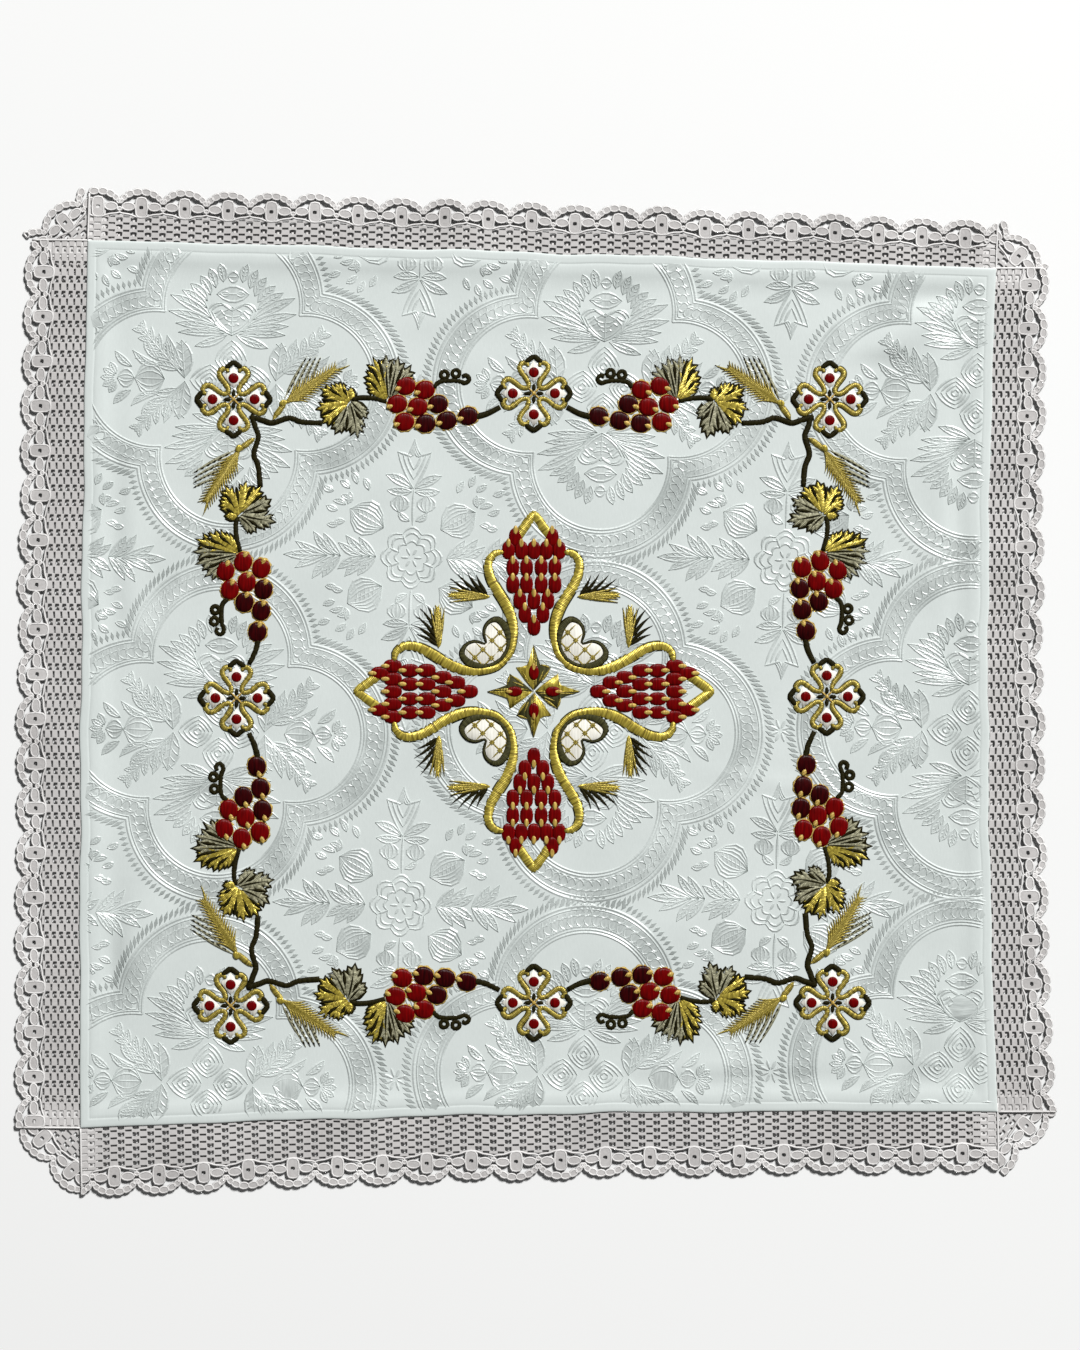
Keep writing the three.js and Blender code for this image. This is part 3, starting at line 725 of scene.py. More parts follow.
def lattice_places(across, down):
    """Places of a figure in every cell of the lattice, moved by a share of each step. The lattice is
    carried over to the panel's corners bilinearly, and figures keep the direction of its upper side."""
    top_left, top_right, bottom_right, bottom_left = PANEL_CORNERS
    along = (top_right - top_left) / np.hypot(*(top_right - top_left))
    up = np.array((-along[1], along[0]))
    steps = np.arange(-1, LATTICE_SIZE + 1)
    i, j = (grid.ravel()[:, None] for grid in np.meshgrid(steps + across, steps + down))
    u, v = np.hsplit(LATTICE_START + i * LATTICE_ACROSS + j * LATTICE_DOWN, 2)
    upper = (1 - u) * top_left + u * top_right
    lower = (1 - u) * bottom_left + u * bottom_right
    return [(centre, along, up) for centre in (1 - v) * upper + v * lower]


def quatrefoil_arcs(share, count):
    """A quatrefoil's four arcs at a share of its band: each lobe's circle, cut where it meets the next."""
    radius = np.interp(share, (0, 1), LOBE_RADIUS)
    centre = np.interp(share, (0, 1), LOBE_CENTRE)
    meet = (centre + np.sqrt(2 * radius**2 - centre**2)) / 2
    reach = np.arctan2(meet, meet - centre)
    turn = np.arange(4)[:, None] * np.pi / 2
    angle = turn + np.linspace(-reach, reach, count)[None]
    out = centre * np.stack([np.cos(turn), np.sin(turn)], -1)
    return out + radius * np.stack([np.cos(angle), np.sin(angle)], -1)


def on_face(paths):
    """Where the points of paths lie on the panel's face inside its hem."""
    return inset_of(paths) > BROCADE_INSET


def near_panel(places, reach):
    """The places whose figure reaches the panel."""
    return [place for place in places if inset_of(place[0]) > BROCADE_INSET - reach]


def figure_strokes(rows, places, count=6):
    """Woven lines from stroke rows, at every place, where they fall inside the hem."""
    return strokes(rows, places, FLOAT_HEIGHT, count, RIDGE, fullest=0.5, power=0.45, clip=on_face)


def leaf_lines(rows):
    """Lines of outlined leaves: each stroke row becomes two edges, which bulge to its half width on both
    sides, and a midrib of 0.8 of its length."""
    rows = np.asarray(rows, float)
    reach = rows[:, 2:4] - rows[:, 0:2]
    bulge = 2 * rows[:, 5] / np.hypot(*reach.T)
    left, right, midrib = rows.copy(), rows.copy(), rows.copy()
    left[:, 4] += bulge
    right[:, 4] -= bulge
    midrib[:, 2:4] = rows[:, 0:2] + 0.8 * reach
    lines = np.concatenate([left, right, midrib])
    lines[:, 5] = LINE
    return lines


def leaf_side_veins(rows):
    """Short lines that spring from a leaf's midrib at each vein share of its length: forward by 0.14 of
    the length, and to both sides by 0.8 of its width there, which is a sine arch."""
    rows = np.asarray(rows, float)
    reach = rows[:, 2:4] - rows[:, 0:2]
    left = np.stack([-reach[:, 1], reach[:, 0]], -1)
    side = left / np.hypot(*left.T)[:, None] * rows[:, 5:6]
    veins = []
    for share in VEIN_SHARES:
        foot = rows[:, 0:2] + share * reach + 2 * share * (1 - share) * rows[:, 4:5] * left
        for hand in (1, -1):
            tip = foot + 0.14 * reach + hand * 0.8 * np.sin(np.pi * share) * side
            veins.append(rows_between(foot, tip, 0, VEIN))
    return np.concatenate(veins)


def split_leaves(rows):
    """Parts stroke rows into lines and leaves, which are the wider ones. The leaves' own lines are among
    the lines."""
    wide = rows[:, 5] > LEAF
    return np.concatenate([rows[~wide], leaf_lines(rows[wide])]), rows[wide]


def band_surfaces():
    """The quatrefoils' bands: a pair of lines outside, a field of small scrolls, each from a point of one
    rim to the next point of another, and a pair of lines inside."""
    places = near_panel(lattice_places(0, 0), BAND_REACH)
    surfaces = []
    for line in BAND_LINES:
        paths = placed(quatrefoil_arcs(line.share, ARC_POINTS), places)
        surfaces.append(ribbons(paths, line.half_width, FLOAT_HEIGHT, RIDGE, shown=on_face(paths)))
    rims = [quatrefoil_arcs(share, RIM_POINTS) for share in SCROLL_RIMS]
    scrolls = []
    for scroll in BAND_SCROLLS:
        base = rims[scroll.start][:, :-1].reshape(-1, 2)
        tip = rims[scroll.end][:, 1:].reshape(-1, 2)
        scrolls.append(rows_between(base, tip, scroll.bend, scroll.half_width))
    surfaces.append(figure_strokes(np.concatenate(scrolls), places, count=4))
    return surfaces


def band_fills():
    """The close weave under the bands' scrolls: a flat strip, on a level of its own in each lobe."""
    places = near_panel(lattice_places(0, 0), BAND_REACH)
    field = placed(quatrefoil_arcs(FIELD_SHARE, ARC_POINTS), places)
    height = np.tile(FILL_HEIGHT - LOBE_STEP * np.arange(4), len(places))[:, None]
    return ribbons(field, FIELD_HALF, height, PLATE, shown=on_face(field))


def band_ropes():
    """The rope along the bands' outer edge: a row of slanting blocks, on its own level in each lobe."""
    places = near_panel(lattice_places(0, 0), BAND_REACH)
    outer, inner = (quatrefoil_arcs(share, ROPE_BLOCKS + 1) for share in ROPE_EDGES)
    rows = rows_between(outer[:, :-1].reshape(-1, 2), inner[:, 1:].reshape(-1, 2), 0, ROPE_HALF)
    level = np.repeat(ROPE_HEIGHT - LOBE_STEP * np.arange(4), ROPE_BLOCKS)
    height = np.tile(level, len(places))[:, None]
    return strokes(rows, places, height, 3, PLATE, fullest=0.5, power=0.15, clip=on_face)


def heart_palmette():
    """Stroke rows of the figure in the upper and lower lobes: a heart of nested lines with broad leaves
    that spread from its foot and close over it."""
    leaves = np.array([
        (3, 31, 25, 23, -0.05, 2.6),
        (5, 32, 36.5, 32.2, 0.05, 2.5),
        (6, 34, 38.5, 38.4, 0.05, 2.5),
        (10, 37, 43.5, 46.6, 0.06, 2.9),
        (14, 42, 42.5, 57.5, 0.08, 3.2),
        (17, 49, 34.5, 61.0, 0.1, 2.8),
        (17, 54, 29.0, 65.5, 0.12, 2.9),
        (15, 58, 22.5, 71.0, 0.12, 3.0),
        (11.5, 63, 16.5, 76.0, 0.1, 2.7),
        (6.5, 67, 9.4, 79.5, 0.08, 2.7),
    ])
    outline = [
        (0, 31, 16.3, 47.5, -0.2, LINE),
        (16.3, 47.5, 8, 52.6, -0.35, LINE),
        (8, 52.6, 0, 47.8, -0.1, LINE),
    ]
    heart = nested(outline, (0, 44), (1, 0.86))
    step = [
        (12.6, 45.2, 8, 48.0, 0, LINE),
        (8, 48.0, 5.4, 44.6, 0, LINE),
        (5.4, 44.6, 0, 43.4, 0.1, LINE),
    ]
    steps = nested(step, (0, 34), (1, 0.68, 0.36))
    lips = ribs((-11.1, 58.9), (11.1, 58.9), (-0.48, 0.48), LINE)
    eye = ribs((2.2, 58.9), (8.4, 58.9), (-0.5, 0.5), LINE)
    bodies = [
        (-11.1, 58.9, 11.1, 58.9, 0, 5.2),
        (-3.8, 70.6, 3.8, 70.6, 0, 3.6),
        (0, 31, 0, 50, 0, 12.0),
    ]
    bud = ribs((-3.8, 70.6), (3.8, 70.6), (-0.9, 0.9), LINE)
    half = np.concatenate([mirrored(part) for part in (leaves, heart, steps, eye)])
    return np.concatenate([half, lips, bud, bodies])


def medallion():
    """Stroke rows of the middle of a quatrefoil: four pointed petals of nested lines on its axes."""
    petal = [(0, 4, 10.7, 14, -0.15, LINE), (10.7, 14, 0, 27.5, -0.18, LINE)]
    petal = mirrored(nested(petal, (0, 14), (1, 0.74, 0.48, 0.22)))
    return np.concatenate([turned(petal, turn) for turn in (0, 90, 180, 270)])


def thistle():
    """Stroke rows of the figure in the side lobes: a ribbed bulb and a smaller one above it, between long
    leafy sprays and plumes."""
    bulb = ribs((0, 44.5), (0, 65), (-0.85, -0.5, 0.5, 0.85), LINE)
    knob = ribs((0, 65), (0, 77), (-0.4, 0.4), LINE)
    bodies = [(0, 44.5, 0, 65, 0, 12.2), (0, 65, 0, 77, 0, 6.0)]
    crown = turned(fan(5, 120, 3, 12, 2.0), 0, (0, 76))
    diagonal = turned(spray(48, 5, 16, 2.7, 34), -47, (1, 31))
    sides = np.array([
        (1, 31, 27, 34, 0.0, 6.2),
        (6, 33, 30, 44, 0.1, 3.0),
        (9, 47, 19, 67, 0.25, 2.2),
        (13, 49, 28, 59, 0.2, 2.3),
        (8, 67, 18, 79, 0.15, 2.2),
    ])
    veins = turned(spray(24, 4, 8.5, LINE, 48), -83, (2, 31))
    return np.concatenate([bulb, knob, bodies, crown, mirrored(np.concatenate([diagonal, sides, veins]))])


def pomegranate():
    """Stroke rows of a lying pomegranate: nested ribs round a slit of seeds, and small leaves by it."""
    shell = ribs((-13.2, 0), (13.2, 0), (-0.7, -0.5, -0.3, 0.3, 0.5, 0.7), LINE)
    body = [(-13.2, 0, 13.2, 0, 0, 11.9)]
    seeds = np.array([(x - 1.6, -2.6, x + 1.6, 2.6, 0.1, LINE) for x in (-6.4, -3.2, 0, 3.2, 6.4)])
    twig = [(16, 2, 19, 10, 0.2, 1.6), (17, 1, 26, -1, 0.2, 1.6), (12, -9, 18, -15, 0.2, 1.6)]
    return np.concatenate([shell, body, seeds, twig])


def rosette():
    """Stroke rows of a flower with eight round petals, a smaller one inside it, and a star of seeds."""
    angle = np.radians(np.arange(0, 360, 45) + 22.5)
    around = 17 * np.stack([np.cos(angle), np.sin(angle)], -1)
    scallop = rows_between(around, np.roll(around, -1, 0), -0.75, LINE)
    petals = nested(scallop, (0, 0), (1, 0.82, 0.55))
    return np.concatenate([petals, fan(8, 315, 9, 16, LINE), fan(6, 300, 2, 7, LINE)])


def interstice():
    """Stroke rows of the figure between four quatrefoils: a rosette, four pomegranates, upright lilies and
    side sprays of broad leaves."""
    lily = nested(
        [(0, 47, 11.5, 72, -0.08, LINE), (11.5, 72, 4.5, 70, 0.1, LINE), (4.5, 70, 0, 81, 0.15, LINE)],
        (0, 68),
        (1, 0.7, 0.4),
    )
    blades = np.array([
        (1, 47, 19, 56, 0.1, 2.9),
        (1, 45, 18, 45.5, -0.08, 2.6),
        (2, 25, 10, 31, -0.2, 1.8),
        (0, 22, 0, 46, 0, 1.2),
    ])
    curls = np.concatenate([ribs((9, 30.5), (9, 42.5), (-0.5, 0.5), LINE), [(9, 30.5, 9, 42.5, 0, 6.0)]])
    fruit = turned(pomegranate(), 28, (31, 26))
    loose = np.array([
        (43, 46, 50, 51, 0.1, 1.7),
        (41, 38, 49, 41, 0.1, 1.7),
        (30, 45, 34, 53, 0.1, 1.7),
        (38, 49, 42, 57, 0.1, 1.7),
        (54, 44, 62, 47, -0.1, 1.7),
        (51, 31, 59, 34, -0.1, 1.7),
        (50, 22, 58, 21, -0.1, 1.7),
    ])
    half = mirrored(np.concatenate([lily, blades, curls, fruit, loose]))
    side = mirrored([
        (0, 24, 13, 36, 0.12, 2.6),
        (0, 28, 14, 45, 0.12, 2.8),
        (0, 33, 9, 50, 0.1, 2.4),
        (0, 48, 15, 60, 0.12, 2.6),
        (0, 52, 16, 67, 0.12, 2.6),
        (0, 57, 9, 79, 0.1, 2.6),
        (0, 58, 0, 87, 0, 3.0),
    ])
    return np.concatenate([rosette(), half, turned(half, 180), turned(side, 90), turned(side, -90)])


def brocade_figures():
    """Surfaces of the woven figures by name, at every place in the lattice where they reach the panel. The
    fills lie under the lines of leaves, of round bodies and of the bands."""
    lobes = near_panel(lattice_places(0, 0), LOBE_REACH)
    between = near_panel(lattice_places(0.5, 0.5), BETWEEN_REACH)
    touching = near_panel(lattice_places(0.5, 0) + lattice_places(0, 0.5), TOUCH_REACH)
    palmettes = np.concatenate([heart_palmette(), turned(heart_palmette(), 180), medallion()])
    thistles = np.concatenate([turned(thistle(), 90), turned(thistle(), -90)])
    woven = {"bands": band_surfaces(), "fills": [band_fills()], "ropes": [band_ropes()], "veins": []}
    figures = {
        "palmettes": (palmettes, lobes),
        "thistles": (thistles, lobes),
        "sprays": (interstice(), between),
    }
    for name, (rows, places) in figures.items():
        lines, leaves = split_leaves(rows)
        woven[name] = [figure_strokes(lines, places)]
        fill = strokes(leaves, places, FILL_HEIGHT, 7, RIDGE, fullest=0.5, power=0.8, clip=on_face)
        woven["fills"].append(fill)
        slim = leaves[leaves[:, 5] < WIDEST_VEINED]
        woven["veins"].append(figure_strokes(leaf_side_veins(slim), places, count=3))
    woven["sprays"].append(figure_strokes(fan(8, 315, 1.5, 8, 1.3), touching))
    return woven


# Embroidered border: eight roundels, with half a vine on each side of a corner one


def arm_places(centres):
    """Places of the four arms about each centre: local y runs out along the arm."""
    arms = [(np.array((out[1], -out[0])), np.array(out)) for out in QUARTER_TURNS]
    return [(centre, across, out) for centre in centres for across, out in arms]


def quadrant_places(centres):
    """Places of the four quadrants about each centre: local x and y run along the two arms beside it."""
    arms = [np.array(out) for out in QUARTER_TURNS]
    return [(centre, arms[turn - 1], arms[turn]) for centre in centres for turn in range(4)]


def both_sides(path):
    """A local path and its mirror image across the local y axis."""
    path = np.asarray(path, float)
    return np.stack([path, path * (-1, 1)])


def over_diagonal(path):
    """A path to a quadrant's diagonal, and on along its mirror image."""
    path = np.asarray(path, float)
    return np.concatenate([path, path[-2::-1, ::-1]])


# Half of a roundel's loop, from its curl at an arm's tip to the diagonal, and half of an arm's white kite
ROUNDEL_LOOP = [(4.0, 18.3), (4.4, 20.2), (6.9, 20.9), (9.3, 19.0), (9.5, 16.2), (7.4, 12.8), (4.8, 9.4)]
ROUNDEL_LOOP += [(3.6, 6.4), (4.1, 4.1)]
ROUNDEL_KITE = [(0, 7.2), (3.2, 10.6), (7.4, 16.4), (3.2, 18.2), (0, 22.6)]
LOOP_POINTS = 56
# Half the loop's width at shares of the way from the diagonal to its curls
LOOP_SHARES, LOOP_WIDTHS = (0, 0.5, 0.85, 1), (1.75, 2.0, 1.9, 1.1)
LOOP_SHADE_EDGE = 0.3  # how far the darker moss ribbon shows on both sides of the loop: painted shade along its edges
# Half of an arm's dark tip: its two ends, and half its width along it
TIP_ENDS = ((5.6, 21.1), (-0.8, 26.0))
TIP_WIDTHS = (1.2, 1.9, 2.0, 2.0, 2.0, 1.8, 0.6)
ROUNDEL_DOT, DOT_RADIUS = (0, 14.3), 3.8
ROUNDEL_BAR = (0, 1.6, 0, 6.8, 0, 1.5)  # the dark stroke of the middle cross, as a stroke row
ROUNDEL_RAY = (0.6, 0.6, 4.0, 4.0, 0, 0.8)  # the gold stroke between two of them
BOSS_RADIUS = 1.5


def roundel_threads():
    """Surfaces of the roundels by thread: a gold loop in each quadrant, curled at both ends, about a white
    kite with a red dot in each arm, dark tips, and a small dark and gold cross in the middle."""
    centres = list(ROUNDEL.values())
    places, quadrants = arm_places(centres), quadrant_places(centres)
    loop = placed([smooth(over_diagonal(ROUNDEL_LOOP), LOOP_POINTS)], quadrants)
    loop_width = np.interp(np.abs(np.linspace(-1, 1, LOOP_POINTS)), LOOP_SHARES, LOOP_WIDTHS)
    tip = np.linspace(*TIP_ENDS, len(TIP_WIDTHS))
    kite = np.concatenate([ROUNDEL_KITE, np.array(ROUNDEL_KITE[-2:0:-1]) * (-1, 1)])
    dots = ovals([ROUNDEL_DOT], DOT_RADIUS, DOT_RADIUS)
    return {
        "bronze": [ribbons(loop, loop_width, height=1.0)],
        # painted shade: the moss ribbon under the loop shows as a dark edge on both sides
        "moss": [ribbons(loop, loop_width + LOOP_SHADE_EDGE, height=0.6)],
        "olive": [
            ribbons(placed(both_sides(tip), places), TIP_WIDTHS, height=1.15),
            strokes([ROUNDEL_BAR], places, height=1.15, power=0.4),
        ],
        "straw": [
            strokes([ROUNDEL_RAY], places, height=1.1),
            domes(ovals(centres, BOSS_RADIUS, BOSS_RADIUS), height=1.3),
        ],
        "white": [domes(placed([kite], places), 0.6, PATCH)],
        "scarlet": [domes(placed(dots, places), height=1.15)],
    }


VINE_LENGTH = 204.0  # of the vine's drawing, from a corner roundel's middle to a mid one's


def vine_places():
    """Places of the eight half vines: x runs from a corner roundel to a mid one, and y out to the edge."""
    places = []
    for corner, name in enumerate(CORNER_NAMES):
        for mid in (MID_NAMES[corner], MID_NAMES[corner - 1]):
            start, run = ROUNDEL[name], ROUNDEL[mid] - ROUNDEL[name]
            out = np.array((-run[1], run[0])) / np.hypot(*run)
            out = out if out @ (start + run / 2 - CENTRE) > 0 else -out
            places.append((start, run / VINE_LENGTH, out))
    return places


VINE_STEM = [(11, -12), (20, -14.8), (26, -16.6), (37.5, -13.4), (46, -16.3), (60, -17.4)]
LEAF_STEM = [(80, -2), (86, -0.6), (95, -1.2), (104, -3.4)]
BUNCH_STEM = [(163, -15.4), (172, -13.2), (181, -8.8)]
TENDRIL = [(136, 5.5), (140, 9), (146, 9.8), (153, 9.4), (157.5, 8), (160.3, 10.2), (158.6, 13.2)]
TENDRIL += [(155.6, 12.4)]
TENDRIL_RINGS, TENDRIL_RADIUS = [(143.5, 13.8), (151.4, 14.6)], 2.5
# The wheat's stalk begins at its foot, and its ear runs from the base to the tip, with one more grain there
WHEAT_FOOT, EAR_BASE, EAR_TIP = np.array([(26.4, -14.6), (34, -4), (71, 20.5)])
TIP_GRAIN = (66, 18, 79.5, 21.8, -0.1, 0.9)
WHEAT_KNOT = (33.6, -3.2)
# The awns stand in a row: where their feet are along the ear, and the first one's head and the row's run
AWN_SHARES = np.linspace(0.05, 0.55, 4)[:, None]
AWN_HEAD, AWN_RUN = np.array([(49.5, 28.5), (19, -1)])
AWN_HALF = 1.2
DASH_SHARES = (0.16, 0.3, 0.44, 0.58, 0.72, 0.86)  # where the dashes on an awn begin
DASH_LENGTH, DASH_HALF = 0.1, 0.6  # share of the awn, and mm
SCARLET_GRAPES = [(117, 6.8), (130, 3.8), (111, -5.3), (125, -7.6), (115.6, -17.6)]
CLARET_GRAPES = [(138.7, -6), (130, -19), (144.5, -17.3), (159, -14.6)]
GRAPE_HALF, GRAPE_EDGE, GRAPE_TURN = (7.1, 6.5), (7.0, 6.5), 12
GRAPE_BACK = np.array((-0.93, -0.32))  # from a grape's middle towards its cap
CAP_REACH, CAP_HALF = (8.0, 3.0), 1.9
EDGE_POINTS, EDGE_STITCHES = 36, 9

# The leaves' lobes as stroke rows: base, tip, bend and half width
LEAF_GOLD = [
    (79, -3, 59.6, 6.2, 0.06, 4.5),
    (79, -3, 69.3, 9.4, 0.05, 4.3),
    (80, -2, 79.6, 6.0, 0.0, 3.2),
    (78, -4, 56.6, -8.0, -0.06, 4.5),
    (77, -5, 60.2, -17.4, -0.05, 4.0),
    (105, -1, 95.4, 25.8, -0.06, 4.5),
    (104, -2, 91.6, 17.2, -0.06, 4.5),
    (103, -2, 92.2, 8.6, 0.0, 3.8),
]
LEAF_SILVER = [
    (80, -3, 90.2, -13.8, -0.08, 4.4),
    (79, -4, 83.8, -27.0, 0.05, 4.7),
    (77, -6, 68.8, -24.0, 0.08, 4.6),
    (105, -1, 104.0, 27.8, 0.03, 4.4),
    (106, -1, 112.2, 25.8, 0.0, 4.6),
    (107, -1, 120.6, 20.0, 0.06, 4.4),
]
# The dark creases between the lobes: base and tip
LEAF_CREASES = [
    (77.6, 0.3, 74.4, 6.2),
    (74.0, 0.0, 64.2, 6.4),
    (72.0, -2.9, 59.6, -1.4),
    (71.2, -7.0, 59.4, -12.0),
    (72.9, -9.7, 65.2, -19.0),
    (77.5, -10.6, 76.2, -22.4),
    (81.7, -7.9, 86.2, -15.4),
    (100.5, 5.9, 94.0, 20.4),
    (99.5, 2.4, 92.8, 11.0),
    (103.0, 7.1, 99.4, 24.6),
    (106.1, 7.4, 108.0, 23.4),
    (109.0, 5.6, 115.8, 19.6),
]
# A lobe's side teeth: where they spring along it, and their length and width as shares of its own
LeafTooth = namedtuple("LeafTooth", "at length width")
LEAF_TEETH = [LeafTooth(0.38, 0.36, 0.5), LeafTooth(0.64, 0.24, 0.38)]
TOOTH_TURN = 0.7  # tangent of the angle between a lobe and its side teeth
LEAF_RIM = 1.5  # how far the dark edge stands out of a leaf
CREASE_HALF = 1.25


def with_teeth(rows):
    """A leaf's lobes and the side teeth on each, aslant to both sides."""
    rows = np.array(rows, float)
    reach = rows[:, 2:4] - rows[:, 0:2]
    left = np.stack([-reach[:, 1], reach[:, 0]], -1) * TOOTH_TURN
    parts = [rows]
    for tooth in LEAF_TEETH:
        for side in (1, -1):
            part = rows.copy()
            part[:, 0:2] = rows[:, 0:2] + tooth.at * reach
            part[:, 2:4] = part[:, 0:2] + tooth.length * (reach + side * left)
            part[:, 5] = tooth.width * rows[:, 5]
            parts.append(part)
    return np.concatenate(parts)


def leaf_rims(rows, grow):
    """Stroke rows for the dark edge under a leaf's lobes: the same strokes, wider by grow and longer by
    1.2 times that."""
    rows = np.array(rows, float)
    reach = rows[:, 2:4] - rows[:, 0:2]
    rows[:, 2:4] += grow * 1.2 * reach / np.hypot(*reach.T)[:, None]
    rows[:, 5] += grow
    return rows


def leaf_veins(rows):
    """Stroke rows for the dark veins on a leaf: a thin line up 0.85 of each lobe."""
    rows = np.array(rows, float)
    rows[:, 2:4] = rows[:, 0:2] + 0.85 * (rows[:, 2:4] - rows[:, 0:2])
    rows[:, 5] = np.minimum(0.8, 0.35 * rows[:, 5])
    return rows


def wheat_rows():
    """Stroke rows of a wheat ear: its fine beard of grains, its stalk, and its loose awns."""
    run = EAR_TIP - EAR_BASE
    length = np.hypot(*run)
    outer = spray(length, 15, leaf=16.0, width=1.15, angle=31, bend=0.2, start=0.02)
    inner = spray(length, 14, leaf=13.0, width=1.4, angle=14, bend=0.08, start=0.0)
    ear = turned(np.concatenate([outer, inner]), -np.degrees(np.arctan2(*run)), EAR_BASE)
    stalk = np.array([(*WHEAT_FOOT, *(EAR_BASE + (2, 1.6)), 0.05, 2.3)])
    foot = EAR_BASE + AWN_SHARES * run + (-1.5, 1.5)
    awns = rows_between(foot, AWN_HEAD + AWN_SHARES * AWN_RUN, 0.04, AWN_HALF)
    return np.concatenate([ear, [TIP_GRAIN]]), stalk, awns


def awn_dashes(awns):
    """Stroke rows of the dashes along the awns, at even shares of them."""
    reach = awns[:, 2:4] - awns[:, 0:2]
    dashes = []
    for share in DASH_SHARES:
        foot = awns[:, 0:2] + share * reach
        dashes.append(rows_between(foot, foot + DASH_LENGTH * reach, 0, DASH_HALF))
    return np.concatenate(dashes)


def vine_threads():
    """Surfaces of the vines by thread: stems, tendrils, leaf edges and the marks on leaves and awns in
    olive, leaves in gold and silver, and a wheat ear in old gold with silver awns."""
    places = vine_places()
    grains, stalk, awns = wheat_rows()
    gold_leaf, silver_leaf = with_teeth(LEAF_GOLD), with_teeth(LEAF_SILVER)
    rims = leaf_rims(np.concatenate([gold_leaf, silver_leaf]), LEAF_RIM)
    crease_base, crease_tip = np.hsplit(np.array(LEAF_CREASES), 2)
    creases = rows_between(crease_base, crease_tip, 0, CREASE_HALF)
    rings = placed(ovals(TENDRIL_RINGS, TENDRIL_RADIUS, TENDRIL_RADIUS, ring=True), places)
    knot = ovals([WHEAT_KNOT], half_x=2.8, half_y=2.2, turn=30)
    return {
        "olive": [
            ribbons(placed([smooth(VINE_STEM, 22)], places), 2.05, height=1.0),
            ribbons(placed([smooth(LEAF_STEM, 10)], places), 1.85, height=1.0),
            ribbons(placed([smooth(BUNCH_STEM, 8)], places), np.linspace(2.3, 1.8, 8), height=1.0),
            ribbons(placed([smooth(TENDRIL, 26)], places), np.linspace(1.8, 1.6, 26), height=0.9),
            ribbons(rings, 1.55, height=0.9, ring=True),
            strokes(rims, places, height=0.5, count=8),
            strokes(leaf_veins(LEAF_SILVER), places, height=0.3, section=RIDGE, lift=0.85),
            strokes(creases, places, height=0.45, section=RIDGE, fullest=0.6, lift=0.85),
            strokes(awn_dashes(awns), places, height=0.3, count=4, section=RIDGE, lift=0.6),
        ],
        "gold": [
            strokes(gold_leaf, places, height=0.95, count=8),
            domes(placed(knot, places), height=0.9, lift=0.6),
        ],
        "bronze": [
            strokes(grains, places, height=0.9),
            strokes(stalk, places, height=1.0, fullest=0.5, power=0.3),
        ],
        "silver": [
            strokes(silver_leaf, places, height=0.95, count=8),
            strokes(awns, places, height=0.7, power=0.6),
        ],
    }


def grape_threads():
    """Surfaces of the bunches by thread: domed grapes in two reds, each with a thin pale gold edge, whose
    width follows a cosine from stitch to stitch, and a cap of the same thread towards the corner."""
    places = vine_places()
    grapes = np.array(SCARLET_GRAPES + CLARET_GRAPES)
    cap_base, cap_tip = (grapes + reach * GRAPE_BACK for reach in CAP_REACH)
    caps = rows_between(cap_base, cap_tip, 0, CAP_HALF)
    edges = placed(ovals(grapes, *GRAPE_EDGE, GRAPE_TURN, EDGE_POINTS, ring=True), places)
    ragged = 0.75 + 0.35 * np.cos(2 * np.pi * EDGE_STITCHES * np.linspace(0, 1, EDGE_POINTS + 1))
    scarlet = ovals(SCARLET_GRAPES, *GRAPE_HALF, GRAPE_TURN, count=16, corner=0.92)
    claret = ovals(CLARET_GRAPES, *GRAPE_HALF, GRAPE_TURN, count=16, corner=0.92)
    return {
        "scarlet": [domes(placed(scarlet, places), height=1.5)],
        "claret": [domes(placed(claret, places), height=1.5)],
        "straw": [
            ribbons(edges, ragged, 0.45, RIDGE, ring=True),
            strokes(caps, places, height=0.8, lift=0.8, fullest=0.5, power=0.4),
        ],
    }


# Central cross

# An arm's rows of red drops: distance out along the arm, and each drop's distance from its middle line
DropRow = namedtuple("DropRow", "out sides")
DROP_ROWS = [
    DropRow(104.7, (12.4, -12.4)),
    DropRow(95.9, (-17.3, -8.5, 0, 8.5, 17.3)),
    DropRow(84.3, (-14.3, -5, 5, 14.3)),
    DropRow(72.8, (-14.3, -5, 5, 14.3)),
    DropRow(61.9, (-9.5, 0, 9.5)),
    DropRow(52.7, (-6.1, 6.1)),
    DropRow(44.2, (0,)),
]

DROP_HALF = (4.65, 6.4)
DROP_TIP, DROP_TIP_HALF = (0, 4.9), (1.65, 3.3)  # from a drop's middle to its pale gold tip's

# Half of a quadrant's scroll and of its bean, from the arm to the diagonal, and half their widths at shares
# of the way back from there
SCROLL = [(20.5, 94.8), (25.8, 94), (30, 90), (31, 84), (29.2, 76.5), (25.4, 69.4), (18.2, 57.5)]
SCROLL += [(14.2, 46), (13.9, 36), (15.8, 26.6), (20.4, 20.4)]
SCROLL_SHARES = (0, 0.12, 0.25, 0.4, 0.62, 0.85, 0.95, 1)
SCROLL_WIDTHS = (2.2, 2.6, 3.3, 4.0, 3.9, 3.2, 2.6, 1.5)
SCROLL_POINTS = 72
SCROLL_SHADE_EDGE = 0.4  # how far the darker moss ribbon shows on both sides of the scroll: painted shade along its edges
BEAN = [(22, 22), (18.2, 28.6), (17.2, 36), (19.4, 43.8), (25.2, 48.8), (31.6, 46), (34, 39.8)]
BEAN += [(32.6, 32.6)]
BEAN_SHARES = (0, 0.28, 0.42, 0.55, 0.66, 0.82, 1)
BEAN_WIDTHS = (0.9, 1.6, 2.6, 3.2, 2.8, 1.6, 1.8)
BEAN_POINTS = 56
